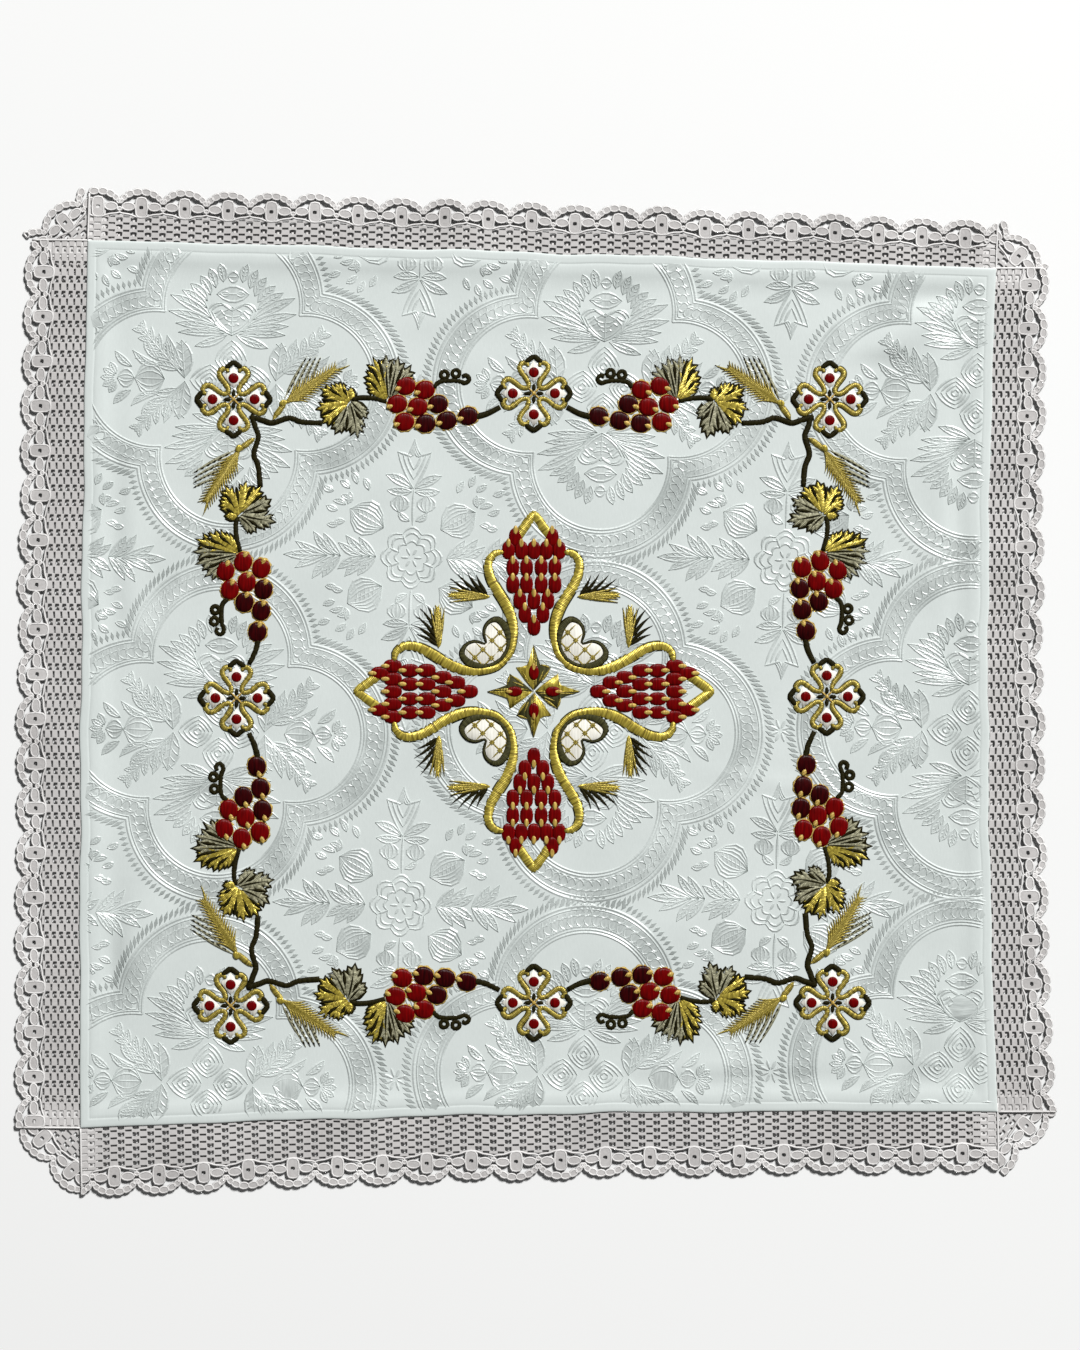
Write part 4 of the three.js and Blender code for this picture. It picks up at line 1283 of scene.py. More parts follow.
BEAN_SHADE_RIM = 0.75  # how much of the dark olive shows on both sides of the bean's lighter moss crest: painted shade on the ring's sides
BEAN_CREST = 0.3  # least half width of that crest
# Half of the chevron over an arm, from its side to its point, and half its width along it
CHEVRON = [(13.8, 101.2), (6.4, 111.8), (0, 120.8), (-1.3, 122.6)]
CHEVRON_SHARES, CHEVRON_WIDTHS = (0, 0.12, 0.85, 1), (2.0, 3.4, 3.4, 0.3)
CHEVRON_POINTS = 9
# The lattice in a bean, x across the diagonal and y along it: half of its lines, and of its crossings
BEAN_LINES = [
    (0, 36.4, 14, 36.4, 0, 0.6),
    (0, 44.6, 18, 44.6, 0, 0.6),
    (4.4, 31.6, 4.4, 52, 0, 0.6),
    (12, 33.5, 12, 53, 0, 0.6),
]
BEAN_CROSSINGS = [(4.4, 36.4), (4.4, 44.6), (12, 44.6), (12, 36.4)]
# The wheat sprig beside each arm: its foot and its turn from the arm's direction, and its dark awns
SPRIG_FOOT, SPRIG_TURN, SPRIG_LENGTH = (29.6, 64.5), -88, 28
SPRIG_AWNS = [
    (31, 65, 39, 79.5, -0.1, 1.5),
    (33, 65.5, 45, 81, -0.1, 1.5),
    (36, 66, 51.5, 80, -0.1, 1.5),
    (40, 66.5, 56.5, 77, -0.1, 1.4),
    (44, 67, 57.5, 72, -0.1, 1.2),
]
# Half of one of the star's points, and the stroke rows of its stitched facets and of the seams between them
STAR = np.array([(0, 0.4), (5.6, 7.0), (12.2, 16.4), (8.0, 16.8), (4.6, 18.2), (2.3, 24), (0, 31.8)])
STAR_FACETS = [
    (1.4, 3, 1.3, 28, 0, 1.1),
    (5.0, 6.8, 11.4, 15.9, 0, 1.0),
    (11.0, 16.2, 4.2, 18.4, 0, 0.9),
    (3.4, 6.4, 6.6, 14.6, 0, 0.8),
]
STAR_SEAMS = [(0, 1.5, 0, 31, 0, 0.8), (-2.4, 4, -8.8, 15.6, 0, 0.6)]
STAR_DROP, STAR_DROP_HALF = (0, 13.0), (3.5, 5.4)
STAR_TIP, STAR_TIP_HALF = (0, 16.6), (1.3, 2.8)


def both_diagonal(rows):
    """Stroke rows and their mirror image across the diagonal."""
    rows = np.asarray(rows, float)
    return np.concatenate([rows, rows[:, [1, 0, 3, 2, 4, 5]] * (1, 1, 1, 1, -1, 1)])


def cross_threads():
    """Surfaces of the cross by thread: scrolls, chevrons, drops with pale gold tips, white beans with a
    gold lattice, sprigs of wheat and the star in the middle."""
    arms, quadrants = arm_places([CENTRE]), quadrant_places([CENTRE])
    drops = np.array([(side, row.out) for row in DROP_ROWS for side in row.sides])
    drop_ovals = ovals(drops, *DROP_HALF, count=16, corner=0.82)
    scroll = placed([smooth(over_diagonal(SCROLL), SCROLL_POINTS)], quadrants)
    scroll_width = np.interp(np.abs(np.linspace(-1, 1, SCROLL_POINTS)), SCROLL_SHARES, SCROLL_WIDTHS)
    bean = placed([smooth(over_diagonal(BEAN), BEAN_POINTS)], quadrants)
    bean_width = np.interp(np.abs(np.linspace(-1, 1, BEAN_POINTS)), BEAN_SHARES, BEAN_WIDTHS)
    chevron = placed(both_sides(smooth(CHEVRON, CHEVRON_POINTS)), arms)
    chevron_width = np.interp(np.linspace(0, 1, CHEVRON_POINTS), CHEVRON_SHARES, CHEVRON_WIDTHS)
    lattice = turned(mirrored(BEAN_LINES), -45)
    knots = [turned(fan(4, 270, 0, 2.0, 0.9), 0, place) for place in BEAN_CROSSINGS]
    knots = turned(mirrored(np.concatenate(knots)), -45)
    plume = spray(SPRIG_LENGTH, 9, leaf=10, width=1.5, angle=15, bend=0.1, start=0.0)
    plume = both_diagonal(turned(plume, SPRIG_TURN, SPRIG_FOOT))
    core = both_diagonal(turned(fan(5, 20, 2, SPRIG_LENGTH, 1.3), SPRIG_TURN, SPRIG_FOOT))
    return {
        "gold": [
            ribbons(scroll, scroll_width, height=1.0),
            ribbons(chevron, chevron_width, height=1.0),
            strokes(plume, quadrants, height=0.85),
            domes(placed([STAR * (-1, 1)], arms), 0.9, PATCH),
            strokes(STAR_SEAMS, arms, height=0.5, section=RIDGE, lift=0.6),
        ],
        "bronze": [
            strokes(core, quadrants, height=0.95),
            strokes(STAR_FACETS, arms, height=0.5, lift=0.6),
            strokes(knots, quadrants, height=0.35, count=4, section=RIDGE, lift=0.6),
            strokes(lattice, quadrants, height=0.3, section=RIDGE, fullest=0.5, power=0.3, lift=0.55),
        ],
        "olive": [
            ribbons(bean, bean_width, height=1.0),
            strokes(both_diagonal(SPRIG_AWNS), quadrants, height=0.8, count=7, fullest=0.3),
        ],
        "moss": [
            # painted highlight and painted shade: a lighter moss crest on the bean's dark olive ring
            ribbons(bean, np.maximum(bean_width - BEAN_SHADE_RIM, BEAN_CREST), height=0.35, lift=0.85),
            # painted shade: the moss ribbon under the scroll shows as a dark edge on both sides
            ribbons(scroll, scroll_width + SCROLL_SHADE_EDGE, height=0.6),
            domes(placed([STAR], arms), 0.85, PATCH),
        ],
        "scarlet": [
            domes(placed(drop_ovals, arms), height=1.2),
            domes(placed(ovals([STAR_DROP], *STAR_DROP_HALF), arms), height=0.9, lift=0.9),
        ],
        "straw": [
            domes(placed(ovals(drops + DROP_TIP, *DROP_TIP_HALF, count=10), arms), height=0.9, lift=0.6),
            domes(placed(ovals([STAR_TIP], *STAR_TIP_HALF, count=10), arms), height=0.6, lift=1.3),
        ],
        "white": [domes(bean, 0.6, PATCH)],
    }


# Lace edging

# Each side's lace, clockwise from the top: its width at the side's start and end, the first and last flower
# as shares of the side, and how many flowers there are
LaceSide = namedtuple("LaceSide", "start_width end_width first last flowers")
LACE_SIDES = [
    LaceSide(36, 32, 0.010, 0.965, 21),
    LaceSide(36, 40, 0.020, 0.952, 19),
    LaceSide(41, 47, 0.039, 0.964, 20),
    LaceSide(44, 42, 0.007, 0.964, 20),
]
REPEAT = 29.7  # mm that one repeat of the drawing below measures
WEB_FLOWERS = (0.1, -0.25, 0.5, 0.0)  # repeats from the middle of each corner's web to its flower
FLOWER_DEPTH = 12.7  # from the crest of a scallop in to its flower's middle
STRIP_LEVEL, WEB_LEVEL, FOLD_LEVEL = 1.95, 1.0, 1.45  # of the strips, the webs, and the folds' lower layer
LOWEST_LACE = 0.05
SWELL_HEIGHT, SWELL_X, SWELL_Y = 0.15, 17, 21  # of the lace's slow swell: height, and mm for each radian
UNDER_HEM = 4.5  # how far the strips reach under the hem
WEB_DEPTH = 40.0  # of a web, in from its crest
WEB_REACH = 5.0  # of a web, out from the line between the strips' ends
WEB_SHORT = 1.5  # how far a web stops short of those ends
FOLD_WIDTH = 11.5  # of the doubled lace at a strip's ends
FOLD_SHORT = 0.3  # how far its lower layer stops short of the fold
FOLD_OVER_NET = 6.0  # how far its lower layer reaches out past the net
FOLD_CREST = 4.0  # depth at which a fold's thick edge begins
FOLD_POINTS = 12

# The flower band about a flower's middle, x along the edge and y outwards: filled rings, of which only the
# flower has an eye, given as shares of its own size
LaceRing = namedtuple("LaceRing", "x y half_x half_y turn corner eye_x eye_y")
LACE_RINGS = [
    LaceRing(0, 0, 4.0, 6.75, 0, 0.6, 0.36, 0.18),
    LaceRing(14.85, -1.2, 1.5, 1.1, 0, 1, 0, 0),
]
for side in (1, -1):
    LACE_RINGS += [
        LaceRing(8.9 * side, 0.4, 4.3, 2.6, 0, 1, 0, 0),
        LaceRing(3.1 * side, 10.4, 3.2, 2.1, -6 * side, 1, 0, 0),
        LaceRing(8.4 * side, 8.9, 3.0, 2.0, -28 * side, 1, 0, 0),
        LaceRing(12.0 * side, 6.5, 2.4, 1.7, -46 * side, 1, 0, 0),
        LaceRing(14.0 * side, 4.2, 1.7, 1.3, -60 * side, 1, 0, 0),
    ]
LACE_RING_COLUMNS = LaceRing(*np.array(LACE_RINGS).T)
RING_POINTS = 12

# Half of the cord at the net's outer edge, from a flower's middle, and the tie from its end to the petals
EDGE_CORD = [(0, -6.9), (4, -6.3), (7, -5.1), (9.9, -4.6), (12.4, -4.4), (14.85, -3.7)]
PETAL_TIE = [(14.85, -1.6), (14.85, -2.6), (14.85, -3.7)]
LACE_CORDS = [[(-x, y) for x, y in EDGE_CORD[:0:-1]] + EDGE_CORD, PETAL_TIE]
CORD_POINTS = 15
CORD_HALF, FOLD_HALF = 0.7, 0.8
RING_RISE, CORD_RISE, FOLD_RISE = 0.35, 0.25, 0.3  # heights of the thick threads over the lace
FILLING_RISE = 0.1

# One tile of the net, three to a repeat: the lines of its threads and the cells left open
NET_X = np.array((0, 0.35, 1.75, 3.25, 4.65, 5.2, 9.5, 9.9))
NET_Y = np.array((0, 0.2, 1.5, 3.15, 3.25, 4.8, 4.9))
NET_OPEN = {(1, 1), (3, 1), (1, 2), (2, 2), (3, 2), (5, 4)}  # column and row: an arch, then a dash
ARCH_CORNERS, DASH_CORNERS = (3, [1, 4]), (5, [5, 6])  # the upper ones, by the lines that meet there
ARCH_SHOULDER, DASH_SHOULDER = 0.4, 0.2  # how far those corners are rounded down
TILES_IN_REPEAT = 3
NET_TOP = FLOWER_DEPTH + 5.3  # depth of the net's first row, in from the crest
NET_START = -7.35  # where a tile begins, from a flower's middle
NET_WALL = 1.9  # how deep the net's threads are

# A run of lace. plan carries a distance along the run and a depth in from the crest to the plan, flowers
# are distances along the run, and spare is how far it goes on past its ends
LaceRun = namedtuple("LaceRun", "plan level flowers stretch length depth spare")


def strip_run(side):
    """The strip of lace along a side."""
    lace = LACE_SIDES[side]
    length = np.hypot(*(PANEL_CORNERS[(side + 1) % 4] - PANEL_CORNERS[side]))
    flowers = np.linspace(lace.first, lace.last, lace.flowers) * length
    flowers = np.r_[2 * flowers[0] - flowers[1], flowers, 2 * flowers[-1] - flowers[-2]]
    stretch = (flowers[1] - flowers[0]) / REPEAT

    def plan(along, depth):
        share = along / length
        width = lace.start_width + (lace.end_width - lace.start_width) * share
        return side_point(side, share, width - depth)

    depth = max(lace.start_width, lace.end_width) + UNDER_HEM
    return LaceRun(plan, STRIP_LEVEL, flowers, stretch, length, depth, 0.0)


def web_run(side):
    """The web across the corner after a side, from one strip's outer end to the next one's."""
    after = (side + 1) % 4
    start = side_point(side, 1.0, LACE_SIDES[side].end_width)
    run = side_point(after, 0.0, LACE_SIDES[after].start_width) - start
    length = np.hypot(*run)
    ahead = run / length
    inwards = np.array((ahead[1], -ahead[0]))
    flowers = length / 2 + (WEB_FLOWERS[side] + np.arange(-1, 2)) * REPEAT

    def plan(along, depth):
        return start + ahead * along[..., None] + inwards * (depth[..., None] - WEB_REACH)

    return LaceRun(plan, WEB_LEVEL, flowers, 1.0, length, WEB_DEPTH, -WEB_SHORT)


def lace_ground(height):
    """A ground for lace: an even height with a slow swell, a sine along x times one along y."""

    def ground(plan):
        return height + SWELL_HEIGHT * np.sin(plan[..., 0] / SWELL_X) * np.sin(plan[..., 1] / SWELL_Y)

    return ground


def run_paths(run, paths):
    """Paths of one repeat, drawn about a flower's middle, carried to every flower of a run and cut off at
    its ends. Those whose middle is past an end are left out."""
    paths = np.asarray(paths, float)
    along = (run.flowers[:, None, None] + paths[None, ..., 0] * run.stretch).reshape(-1, paths.shape[1])
    depth = np.tile(FLOWER_DEPTH - paths[..., 1], (len(run.flowers), 1))
    middle = along.mean(axis=1)
    kept = (middle > -run.spare) & (middle < run.length + run.spare)
    along = np.clip(along[kept], -run.spare, run.length + run.spare)
    return run.plan(along, depth[kept])


def lace_ring_paths():
    """The flower band's rings as closed paths."""
    ring = LACE_RING_COLUMNS
    middle = np.stack([ring.x, ring.y], -1)
    square = ovals(middle[:1], ring.half_x[0], ring.half_y[0], 0, RING_POINTS, ring.corner[0], ring=True)
    rest = ovals(middle[1:], ring.half_x[1:], ring.half_y[1:], ring.turn[1:], RING_POINTS, ring=True)
    return np.concatenate([square, rest])


def lace_cord_surfaces(runs):
    """The lace's thick threads: the rings' edges, the cords by them, and the folded ends of the strips."""
    surfaces = []
    for run in runs:
        ground = lace_ground(run.level)
        rings = run_paths(run, lace_ring_paths())
        surfaces.append(ribbons(rings, CORD_HALF, RING_RISE, RIDGE, ground=ground, ring=True))
        for cord in LACE_CORDS:
            cords = run_paths(run, [smooth(cord, CORD_POINTS)])
            surfaces.append(ribbons(cords, CORD_HALF, CORD_RISE, RIDGE, ground=ground))
    for run in runs[:4]:
        depth = np.linspace(FOLD_CREST, run.depth - UNDER_HEM, FOLD_POINTS)
        folds = np.stack([run.plan(np.full(FOLD_POINTS, end), depth) for end in (0.0, run.length)])
        surfaces.append(ribbons(folds, FOLD_HALF, FOLD_RISE, RIDGE, ground=lace_ground(STRIP_LEVEL)))
    return surfaces


def lace_fill_surfaces(runs):
    """The rings' close filling: a sheet from each ring in to its eye or to its middle."""
    eyes = np.stack([LACE_RING_COLUMNS.eye_x, LACE_RING_COLUMNS.eye_y], -1)
    rings = lace_ring_paths()[:, :-1]
    middles = rings.mean(axis=1, keepdims=True)
    inner = middles + (rings - middles) * eyes[:, None]
    surfaces = []
    for run in runs:
        plan = np.stack([run_paths(run, rings), run_paths(run, inner)], 1)
        level = lace_ground(run.level + FILLING_RISE)(plan)
        points = np.concatenate([plan, level[..., None]], -1)
        quads = grid_quads(*level.shape)
        surfaces.append(Surface(points.reshape(-1, 3), quads[:, ::-1], plan.reshape(-1, 2)))
    return surfaces


def fold_surfaces(runs):
    """The lower layer of the folds at the strips' ends: a plain sheet under the net."""
    surfaces = []
    for run in runs[:4]:
        depth = np.linspace(NET_TOP - FOLD_OVER_NET, run.depth, FOLD_POINTS)
        for start in (FOLD_SHORT, run.length - FOLD_WIDTH):
            along, across = np.meshgrid(start + np.linspace(0, FOLD_WIDTH - FOLD_SHORT, 6), depth)
            plan = run.plan(along, across)
            points = np.dstack([plan, lace_ground(FOLD_LEVEL)(plan)]).reshape(-1, 3)
            index = np.arange(along.size).reshape(along.shape)
            corners = [index[1:, :-1], index[1:, 1:], index[:-1, 1:], index[:-1, :-1]]
            surfaces.append(Surface(points, np.stack(corners, -1).reshape(-1, 4), plan.reshape(-1, 2)))
    return surfaces


def net_tile_quads():
    """Quads of one net tile: its closed cells, and the walls of its openings down to the lower points,
    which follow the upper ones."""
    wide, high = len(NET_X), len(NET_Y)
    below = wide * high
    quads = []
    for row in range(high - 1):
        for column in range(wide - 1):
            corner = row * wide + column
            ring = [corner, corner + 1, corner + 1 + wide, corner + wide]
            if (column, row) not in NET_OPEN:
                quads.append(ring)
                continue
            beyond = [(column, row - 1), (column + 1, row), (column, row + 1), (column - 1, row)]
            for edge, cell in enumerate(beyond):
                if cell not in NET_OPEN:
                    start, end = ring[edge], ring[(edge + 1) % 4]
                    quads.append([start, end, end + below, start + below])
    return np.array(quads)


def net_surface(run):
    """The net of a run: a small grid of thread lines for each tile, cut off at the run's ends."""
    x, y = np.meshgrid(NET_X, NET_Y)
    y[ARCH_CORNERS] -= ARCH_SHOULDER
    y[DASH_CORNERS] -= DASH_SHOULDER
    x, y = np.stack([x, x]), np.stack([y, y])
    first = run.flowers[0] + NET_START * run.stretch
    wide = NET_X[-1] * run.stretch
    starts = first + wide * np.arange(TILES_IN_REPEAT * len(run.flowers))
    starts = starts[(starts + wide > -run.spare) & (starts < run.length + run.spare)]
    rows = int(np.ceil((run.depth - NET_TOP) / NET_Y[-1]))
    tiles = np.meshgrid(starts, np.arange(rows))
    tile_x, tile_y = (grid.ravel()[:, None, None, None] for grid in tiles)
    along = np.clip(tile_x + x * run.stretch, -run.spare, run.length + run.spare)
    depth = NET_TOP + (tile_y + 1) * NET_Y[-1] - y
    plan = run.plan(along, np.broadcast_to(depth, along.shape))
    drop = np.array((0, NET_WALL))[:, None, None]
    level = np.maximum(lace_ground(run.level)(plan) - drop, LOWEST_LACE)
    points = np.concatenate([plan, level[..., None]], -1).reshape(-1, 3)
    tile = np.arange(tile_x.size)[:, None, None] * x.size
    return Surface(points, (tile + net_tile_quads()).reshape(-1, 4), plan.reshape(-1, 2))


# Settings that a user would change


def colour(name, description, value):
    """A colour setting whose default is an sRGB hex value."""
    return bpy.props.FloatVectorProperty(
        name=name, description=description, subtype="COLOR", size=4, min=0.0, max=1.0, default=srgb(value)
    )


class ClothSettings(bpy.types.PropertyGroup):
    """Colours of the brocade panel."""

    ground: colour("Ground", "The satin ground", "DDE4E1")
    shade: colour("Shade", "The ground's darker threads", "D3DAD7")
    figure: colour("Figure", "The woven figure's light floats", "DDE4E1")
    figure_shade: colour("Figure shade", "The woven figure's dark floats", "B9C0BD")
    fill: colour("Fill", "The woven figure's lighter fills", "D6DDDA")
    fill_shade: colour("Fill shade", "The woven figure's darker fills", "B0B7B4")
    rope: colour("Rope", "The lighter blocks of the bands' rope", "BEC5C2")
    rope_shade: colour("Rope shade", "The darker blocks of the bands' rope", "989F9C")


class LaceSettings(bpy.types.PropertyGroup):
    """Colours of the lace."""

    cord: colour("Cord", "The thick threads", "F1EFED")
    net: colour("Net", "The net", "D3D0CE")
    net_shade: colour("Net shade", "The net's thinner places", "C0BDBB")
    filling: colour("Filling", "The close fillings", "CFCCCA")
    filling_shade: colour("Filling shade", "The fillings' thinner places", "B6B3B1")


class ThreadSettings(bpy.types.PropertyGroup):
    """Colours of the embroidery threads."""

    # Each thread is mixed at random between its colour in the light and in its folds: painted highlights
    # and painted shade.
    gold: colour("Gold", "Gold thread in the light", "E4CF58")
    gold_shade: colour("Gold shade", "Gold thread in its folds", "644F0A")
    bronze: colour("Bronze", "Old gold thread in the light", "BBA84A")
    bronze_shade: colour("Bronze shade", "Old gold thread in its folds", "52440C")
    olive: colour("Olive", "Olive thread in the light", "2A2610")
    olive_shade: colour("Olive shade", "Olive thread in its folds", "151204")
    moss: colour("Moss", "Moss green thread in the light", "4E4C2C")
    moss_shade: colour("Moss shade", "Moss green thread in its folds", "24220F")
    scarlet: colour("Scarlet", "Scarlet thread in the light", "780304")
    scarlet_shade: colour("Scarlet shade", "Scarlet thread in its folds", "4E0102")
    claret: colour("Claret", "Claret thread in the light", "3C0204")
    claret_shade: colour("Claret shade", "Claret thread in its folds", "180001")
    straw: colour("Straw", "Pale gold thread in the light", "D8B75E")
    straw_shade: colour("Straw shade", "Pale gold thread in its folds", "8E6E26")
    silver: colour("Silver", "Silver thread in the light", "B3B092")
    silver_shade: colour("Silver shade", "Silver thread in its folds", "514F36")
    white: colour("White", "White thread in the light", "FBF9EF")
    white_shade: colour("White shade", "White thread in its folds", "E8E4D6")


class StageSettings(bpy.types.PropertyGroup):
    """Camera, floor and light."""

    view_height: bpy.props.FloatProperty(
        name="View height", description="Height of the picture at the cover", default=0.918, unit="LENGTH"
    )
    distance: bpy.props.FloatProperty(
        name="Distance", description="Camera's height over the cover", default=2.0, unit="LENGTH"
    )
    key_power: bpy.props.FloatProperty(
        name="Key light", description="Power of the soft key light", default=2960.0, unit="POWER"
    )
    key_place: bpy.props.FloatVectorProperty(
        name="Key place",
        description="Where the key light hangs",
        default=(5.8, 9.5, 9.2),
        subtype="TRANSLATION",
    )
    key_size: bpy.props.FloatProperty(
        name="Key size", description="Width of the key light's round shade", default=3.6, unit="LENGTH"
    )
    fill_strength: bpy.props.FloatProperty(
        name="Fill light", description="Strength of the even light from all round", default=0.09, min=0.0
    )
    backdrop: bpy.props.FloatProperty(
        name="Backdrop",
        description="How much brighter the backdrop looks than the fill light",
        default=0.64,
        min=0.0,
    )
    paper: colour("Paper", "The floor", "F8F8F7")
    sky: colour("Sky", "The fill light and the backdrop", "F7F9FA")


# Operators

FLOAT_ROUGHNESS, FILL_ROUGHNESS, ROPE_ROUGHNESS = 0.27, 0.42, 0.45  # of the brocade's unworn figure

# The record's slot and the finish of each thread: roughness, share of metal and specular level
Thread = namedtuple("Thread", "slot roughness metallic specular")
THREADS = {
    "gold": Thread("gold_thread", 0.32, 0.45, 0.5),
    "bronze": Thread("gold_thread", 0.36, 0.35, 0.4),
    "straw": Thread("gold_thread", 0.4, 0.1, 0.4),
    "olive": Thread("olive_thread", 0.5, 0.0, 0.04),
    "moss": Thread("olive_thread", 0.5, 0.0, 0.1),
    "scarlet": Thread("scarlet_thread", 0.3, 0.0, 0.12),
    "claret": Thread("claret_thread", 0.3, 0.0, 0.15),
    "silver": Thread("gold_thread", 0.45, 0.1, 0.3),
    "white": Thread("white_brocade", 0.6, 0.0, 0.3),
}


def thread_material(settings, name):
    """The material of one thread colour, made once."""
    title = name + "_satin_thread"
    if title in bpy.data.materials:
        return bpy.data.materials[title]
    _, *finish = THREADS[name]
    return satin_thread(title, getattr(settings, name + "_shade"), getattr(settings, name), *finish)


def write_threads(context, group, threads, nodes):
    """Writes a motif's pieces, one for each thread. The first stands for the motif's solids."""
    for name, surfaces in threads.items():
        material = thread_material(context.scene.altar_threads, name)
        write_piece(f"{group}_{name}", surfaces, material, nodes)
        nodes = ()


def nodes_named(start):
    """Names of the solids that begin with the given words."""
    return sorted(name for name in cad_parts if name.startswith(start))


class ALTAR_OT_brocade_panel(bpy.types.Operator):
    """Lays the brocade panel with its hem"""

    bl_idname = "altar.brocade_panel"
    bl_label = "Brocade panel"

    def execute(self, context):
        settings = context.scene.altar_cloth
        cloth = woven_brocade(settings)
        panel = write_piece("panel", [panel_surface()], cloth, ["brocade_panel"])
        return {"FINISHED"}


class ALTAR_OT_brocade_pattern(bpy.types.Operator):
    """Weaves the quatrefoil bands and the figures between them into the panel's face"""

    bl_idname = "altar.brocade_pattern"
    bl_label = "Brocade pattern"

    def execute(self, context):
        settings = context.scene.altar_cloth
        shades = (settings.figure_shade, settings.figure)
        floats = woven_figure("woven_brocade_figure", *shades, FLOAT_ROUGHNESS)
        fills = woven_figure("woven_brocade_fill", settings.fill_shade, settings.fill, FILL_ROUGHNESS)
        ropes = woven_figure("woven_brocade_rope", settings.rope_shade, settings.rope, ROPE_ROUGHNESS)
        closer = {"fills": fills, "ropes": ropes}
        for name, surfaces in brocade_figures().items():
            material = closer.get(name, floats)
            write_piece("brocade_" + name, surfaces, material, smooth_faces=False)
        return {"FINISHED"}


class ALTAR_OT_roundels(bpy.types.Operator):
    """Embroiders the eight cross roundels of the border"""

    bl_idname = "altar.roundels"
    bl_label = "Roundels"

    def execute(self, context):
        write_threads(context, "roundels", roundel_threads(), nodes_named("roundel_"))
        return {"FINISHED"}


class ALTAR_OT_vines(bpy.types.Operator):
    """Embroiders the border's vines with their leaves, tendrils and wheat"""

    bl_idname = "altar.vines"
    bl_label = "Vines"

    def execute(self, context):
        write_threads(context, "vines", vine_threads(), nodes_named("vine_"))
        return {"FINISHED"}


class ALTAR_OT_grapes(bpy.types.Operator):
    """Embroiders the border's bunches of grapes"""

    bl_idname = "altar.grapes"
    bl_label = "Grapes"

    def execute(self, context):
        write_threads(context, "grapes", grape_threads(), nodes_named("grapes_"))
        return {"FINISHED"}


class ALTAR_OT_cross(bpy.types.Operator):
    """Embroiders the cross in the middle"""

    bl_idname = "altar.cross"
    bl_label = "Cross"

    def execute(self, context):
        write_threads(context, "cross", cross_threads(), nodes_named("cross_"))
        return {"FINISHED"}


class ALTAR_OT_lace(bpy.types.Operator):
    """Sews the lace edging under the hem, with a web across each corner"""

    bl_idname = "altar.lace"
    bl_label = "Lace edging"

    def execute(self, context):
        settings = context.scene.altar_lace
        runs = [strip_run(side) for side in range(4)] + [web_run(side) for side in range(4)]
        close = lace_cotton("lace_cotton_filling", settings.filling_shade, settings.filling)
        open_net = lace_cotton("lace_cotton_net", settings.net_shade, settings.net)
        thick = lace_cotton("lace_cotton_cord", settings.net, settings.cord)
        nets = [net_surface(run) for run in runs]
        net = write_piece("lace_net", nets, open_net, ["lace_edging"])
        cords = write_piece("lace_cords", lace_cord_surfaces(runs), thick)
        fillings = write_piece("lace_fillings", lace_fill_surfaces(runs), close)
        folds = write_piece("lace_folds", fold_surfaces(runs), thick)
        return {"FINISHED"}


# A round floor under the cover, in metres, so that no corner of it shows from any side
FLOOR_RADIUS = 8.5
FLOOR_SIDES = 128
FLOOR_DROP = 0.0002
VIEW_MIDDLE = (3.2, 11.7)  # of the picture, in mm on the cover's drawing
SENSOR_HEIGHT = 36.0  # the camera's, in its own mm


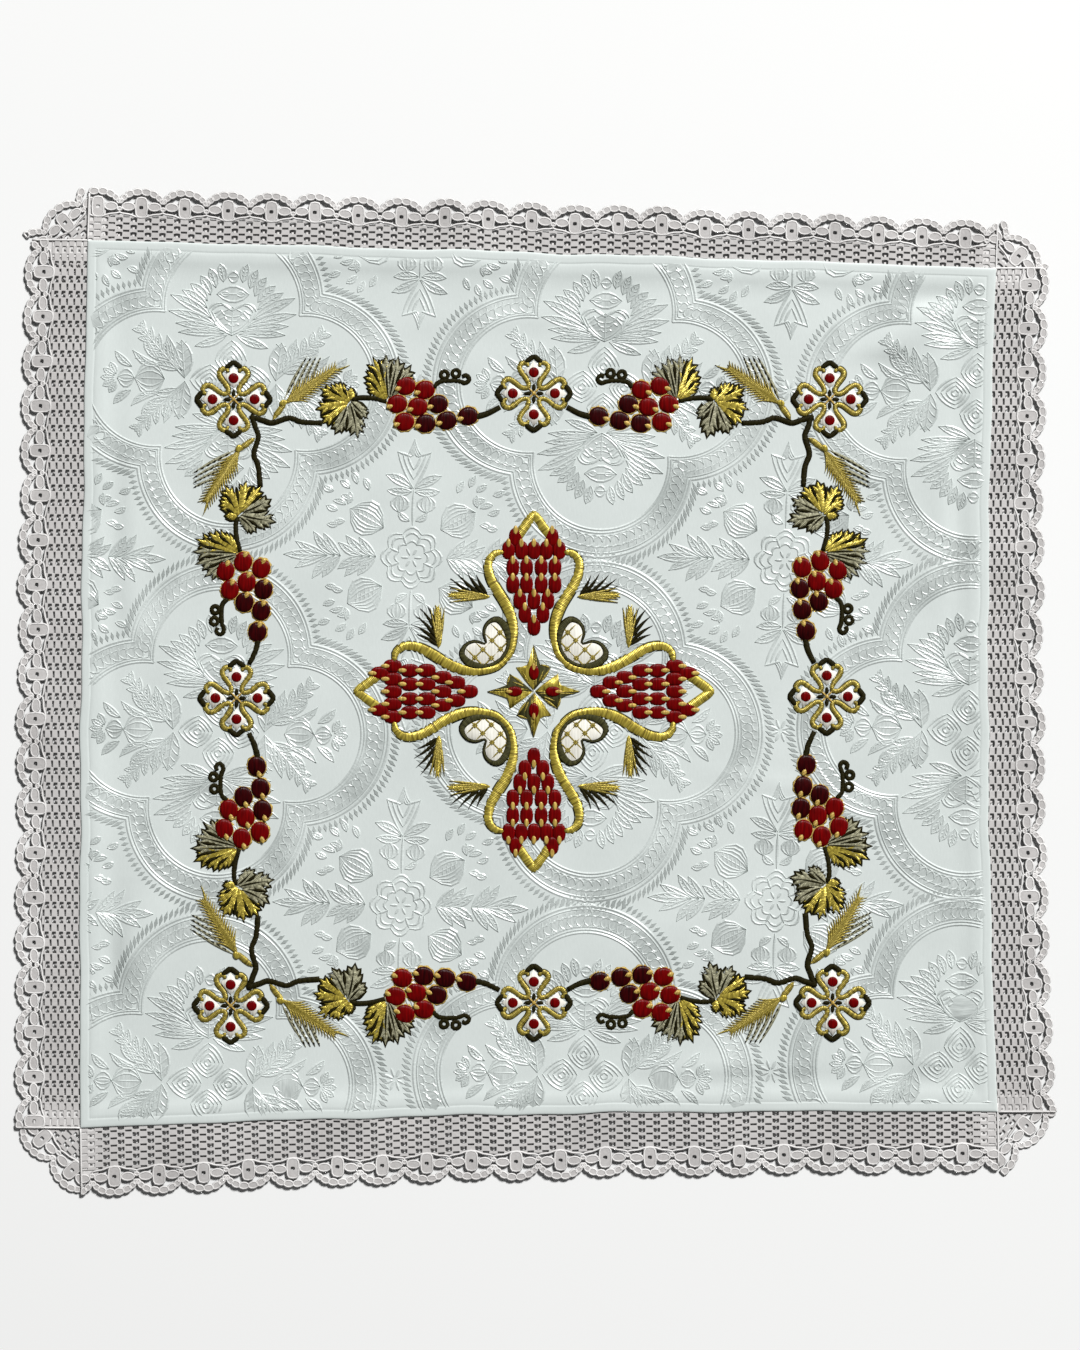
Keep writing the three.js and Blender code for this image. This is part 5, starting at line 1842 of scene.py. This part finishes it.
class ALTAR_OT_stage(bpy.types.Operator):
    """Sets up the floor, the soft light and the camera"""

    bl_idname = "altar.stage"
    bl_label = "Stage"

    def execute(self, context):
        settings = context.scene.altar_stage
        turn = np.linspace(0, 2 * np.pi, FLOOR_SIDES, endpoint=False)
        level = np.full(FLOOR_SIDES, -FLOOR_DROP)
        rim = np.stack([FLOOR_RADIUS * np.cos(turn), FLOOR_RADIUS * np.sin(turn), level], -1)
        mesh = bpy.data.meshes.new("floor")
        mesh.from_pydata(rim.tolist(), [], [tuple(range(FLOOR_SIDES))])
        mesh.materials.append(stage_paper(settings))
        floor = bpy.data.objects.new("floor", mesh)
        context.collection.objects.link(floor)

        key = bpy.data.lights.new("key", "AREA")
        key.shape = "DISK"
        key.size = settings.key_size
        key.energy = settings.key_power
        lamp = bpy.data.objects.new("key", key)
        lamp.location = settings.key_place
        lamp.rotation_euler = (-lamp.location).to_track_quat("-Z", "Y").to_euler()
        context.collection.objects.link(lamp)

        world = bpy.data.worlds.new("soft_light")
        world.use_nodes = True
        tree = world.node_tree
        tree.nodes.clear()
        seen = add_node(tree, "ShaderNodeLightPath").outputs["Is Camera Ray"]
        backdrop = {1: settings.backdrop, 2: settings.fill_strength}
        strength = add_node(tree, "ShaderNodeMath", backdrop, {0: seen}, operation="MULTIPLY_ADD")
        sky = {"Color": tuple(settings.sky)}
        background = add_node(tree, "ShaderNodeBackground", sky, {"Strength": strength.outputs[0]})
        add_node(tree, "ShaderNodeOutputWorld", links={"Surface": background.outputs[0]})
        context.scene.world = world
        context.scene.view_settings.view_transform = "Standard"

        camera = bpy.data.cameras.new("camera")
        camera.sensor_fit = "VERTICAL"
        camera.sensor_height = SENSOR_HEIGHT
        camera.lens = camera.sensor_height * settings.distance / settings.view_height
        view = bpy.data.objects.new("camera", camera)
        middle = (SHIFT + VIEW_MIDDLE) * MM
        view.location = (*middle, settings.distance)
        context.collection.objects.link(view)
        context.scene.camera = view
        return {"FINISHED"}


OPERATORS = (
    ALTAR_OT_brocade_panel,
    ALTAR_OT_brocade_pattern,
    ALTAR_OT_roundels,
    ALTAR_OT_vines,
    ALTAR_OT_grapes,
    ALTAR_OT_cross,
    ALTAR_OT_lace,
    ALTAR_OT_stage,
)
GROUPS = {
    "altar_cloth": ClothSettings,
    "altar_lace": LaceSettings,
    "altar_threads": ThreadSettings,
    "altar_stage": StageSettings,
}


class ALTAR_PT_cover(bpy.types.Panel):
    """Lists the cover's pieces and their settings"""

    bl_idname = "ALTAR_PT_cover"
    bl_label = "Altar cover"
    bl_space_type = "VIEW_3D"
    bl_region_type = "UI"
    bl_category = "Altar cover"

    def draw(self, context):
        for operator in OPERATORS:
            self.layout.operator(operator.bl_idname)
        for name, group in GROUPS.items():
            for key in group.__annotations__:
                self.layout.prop(getattr(context.scene, name), key)


def register():
    for name, group in GROUPS.items():
        bpy.utils.register_class(group)
        setattr(bpy.types.Scene, name, bpy.props.PointerProperty(type=group))
    for operator in OPERATORS:
        bpy.utils.register_class(operator)
    bpy.utils.register_class(ALTAR_PT_cover)


def unregister():
    bpy.utils.unregister_class(ALTAR_PT_cover)
    for operator in reversed(OPERATORS):
        bpy.utils.unregister_class(operator)
    for name, group in GROUPS.items():
        delattr(bpy.types.Scene, name)
        bpy.utils.unregister_class(group)


def main():
    """Registers the add-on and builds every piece."""
    register()
    for operator in OPERATORS:
        family, action = operator.bl_idname.split(".")
        getattr(getattr(bpy.ops, family), action)()


if __name__ == "__main__":
    main()
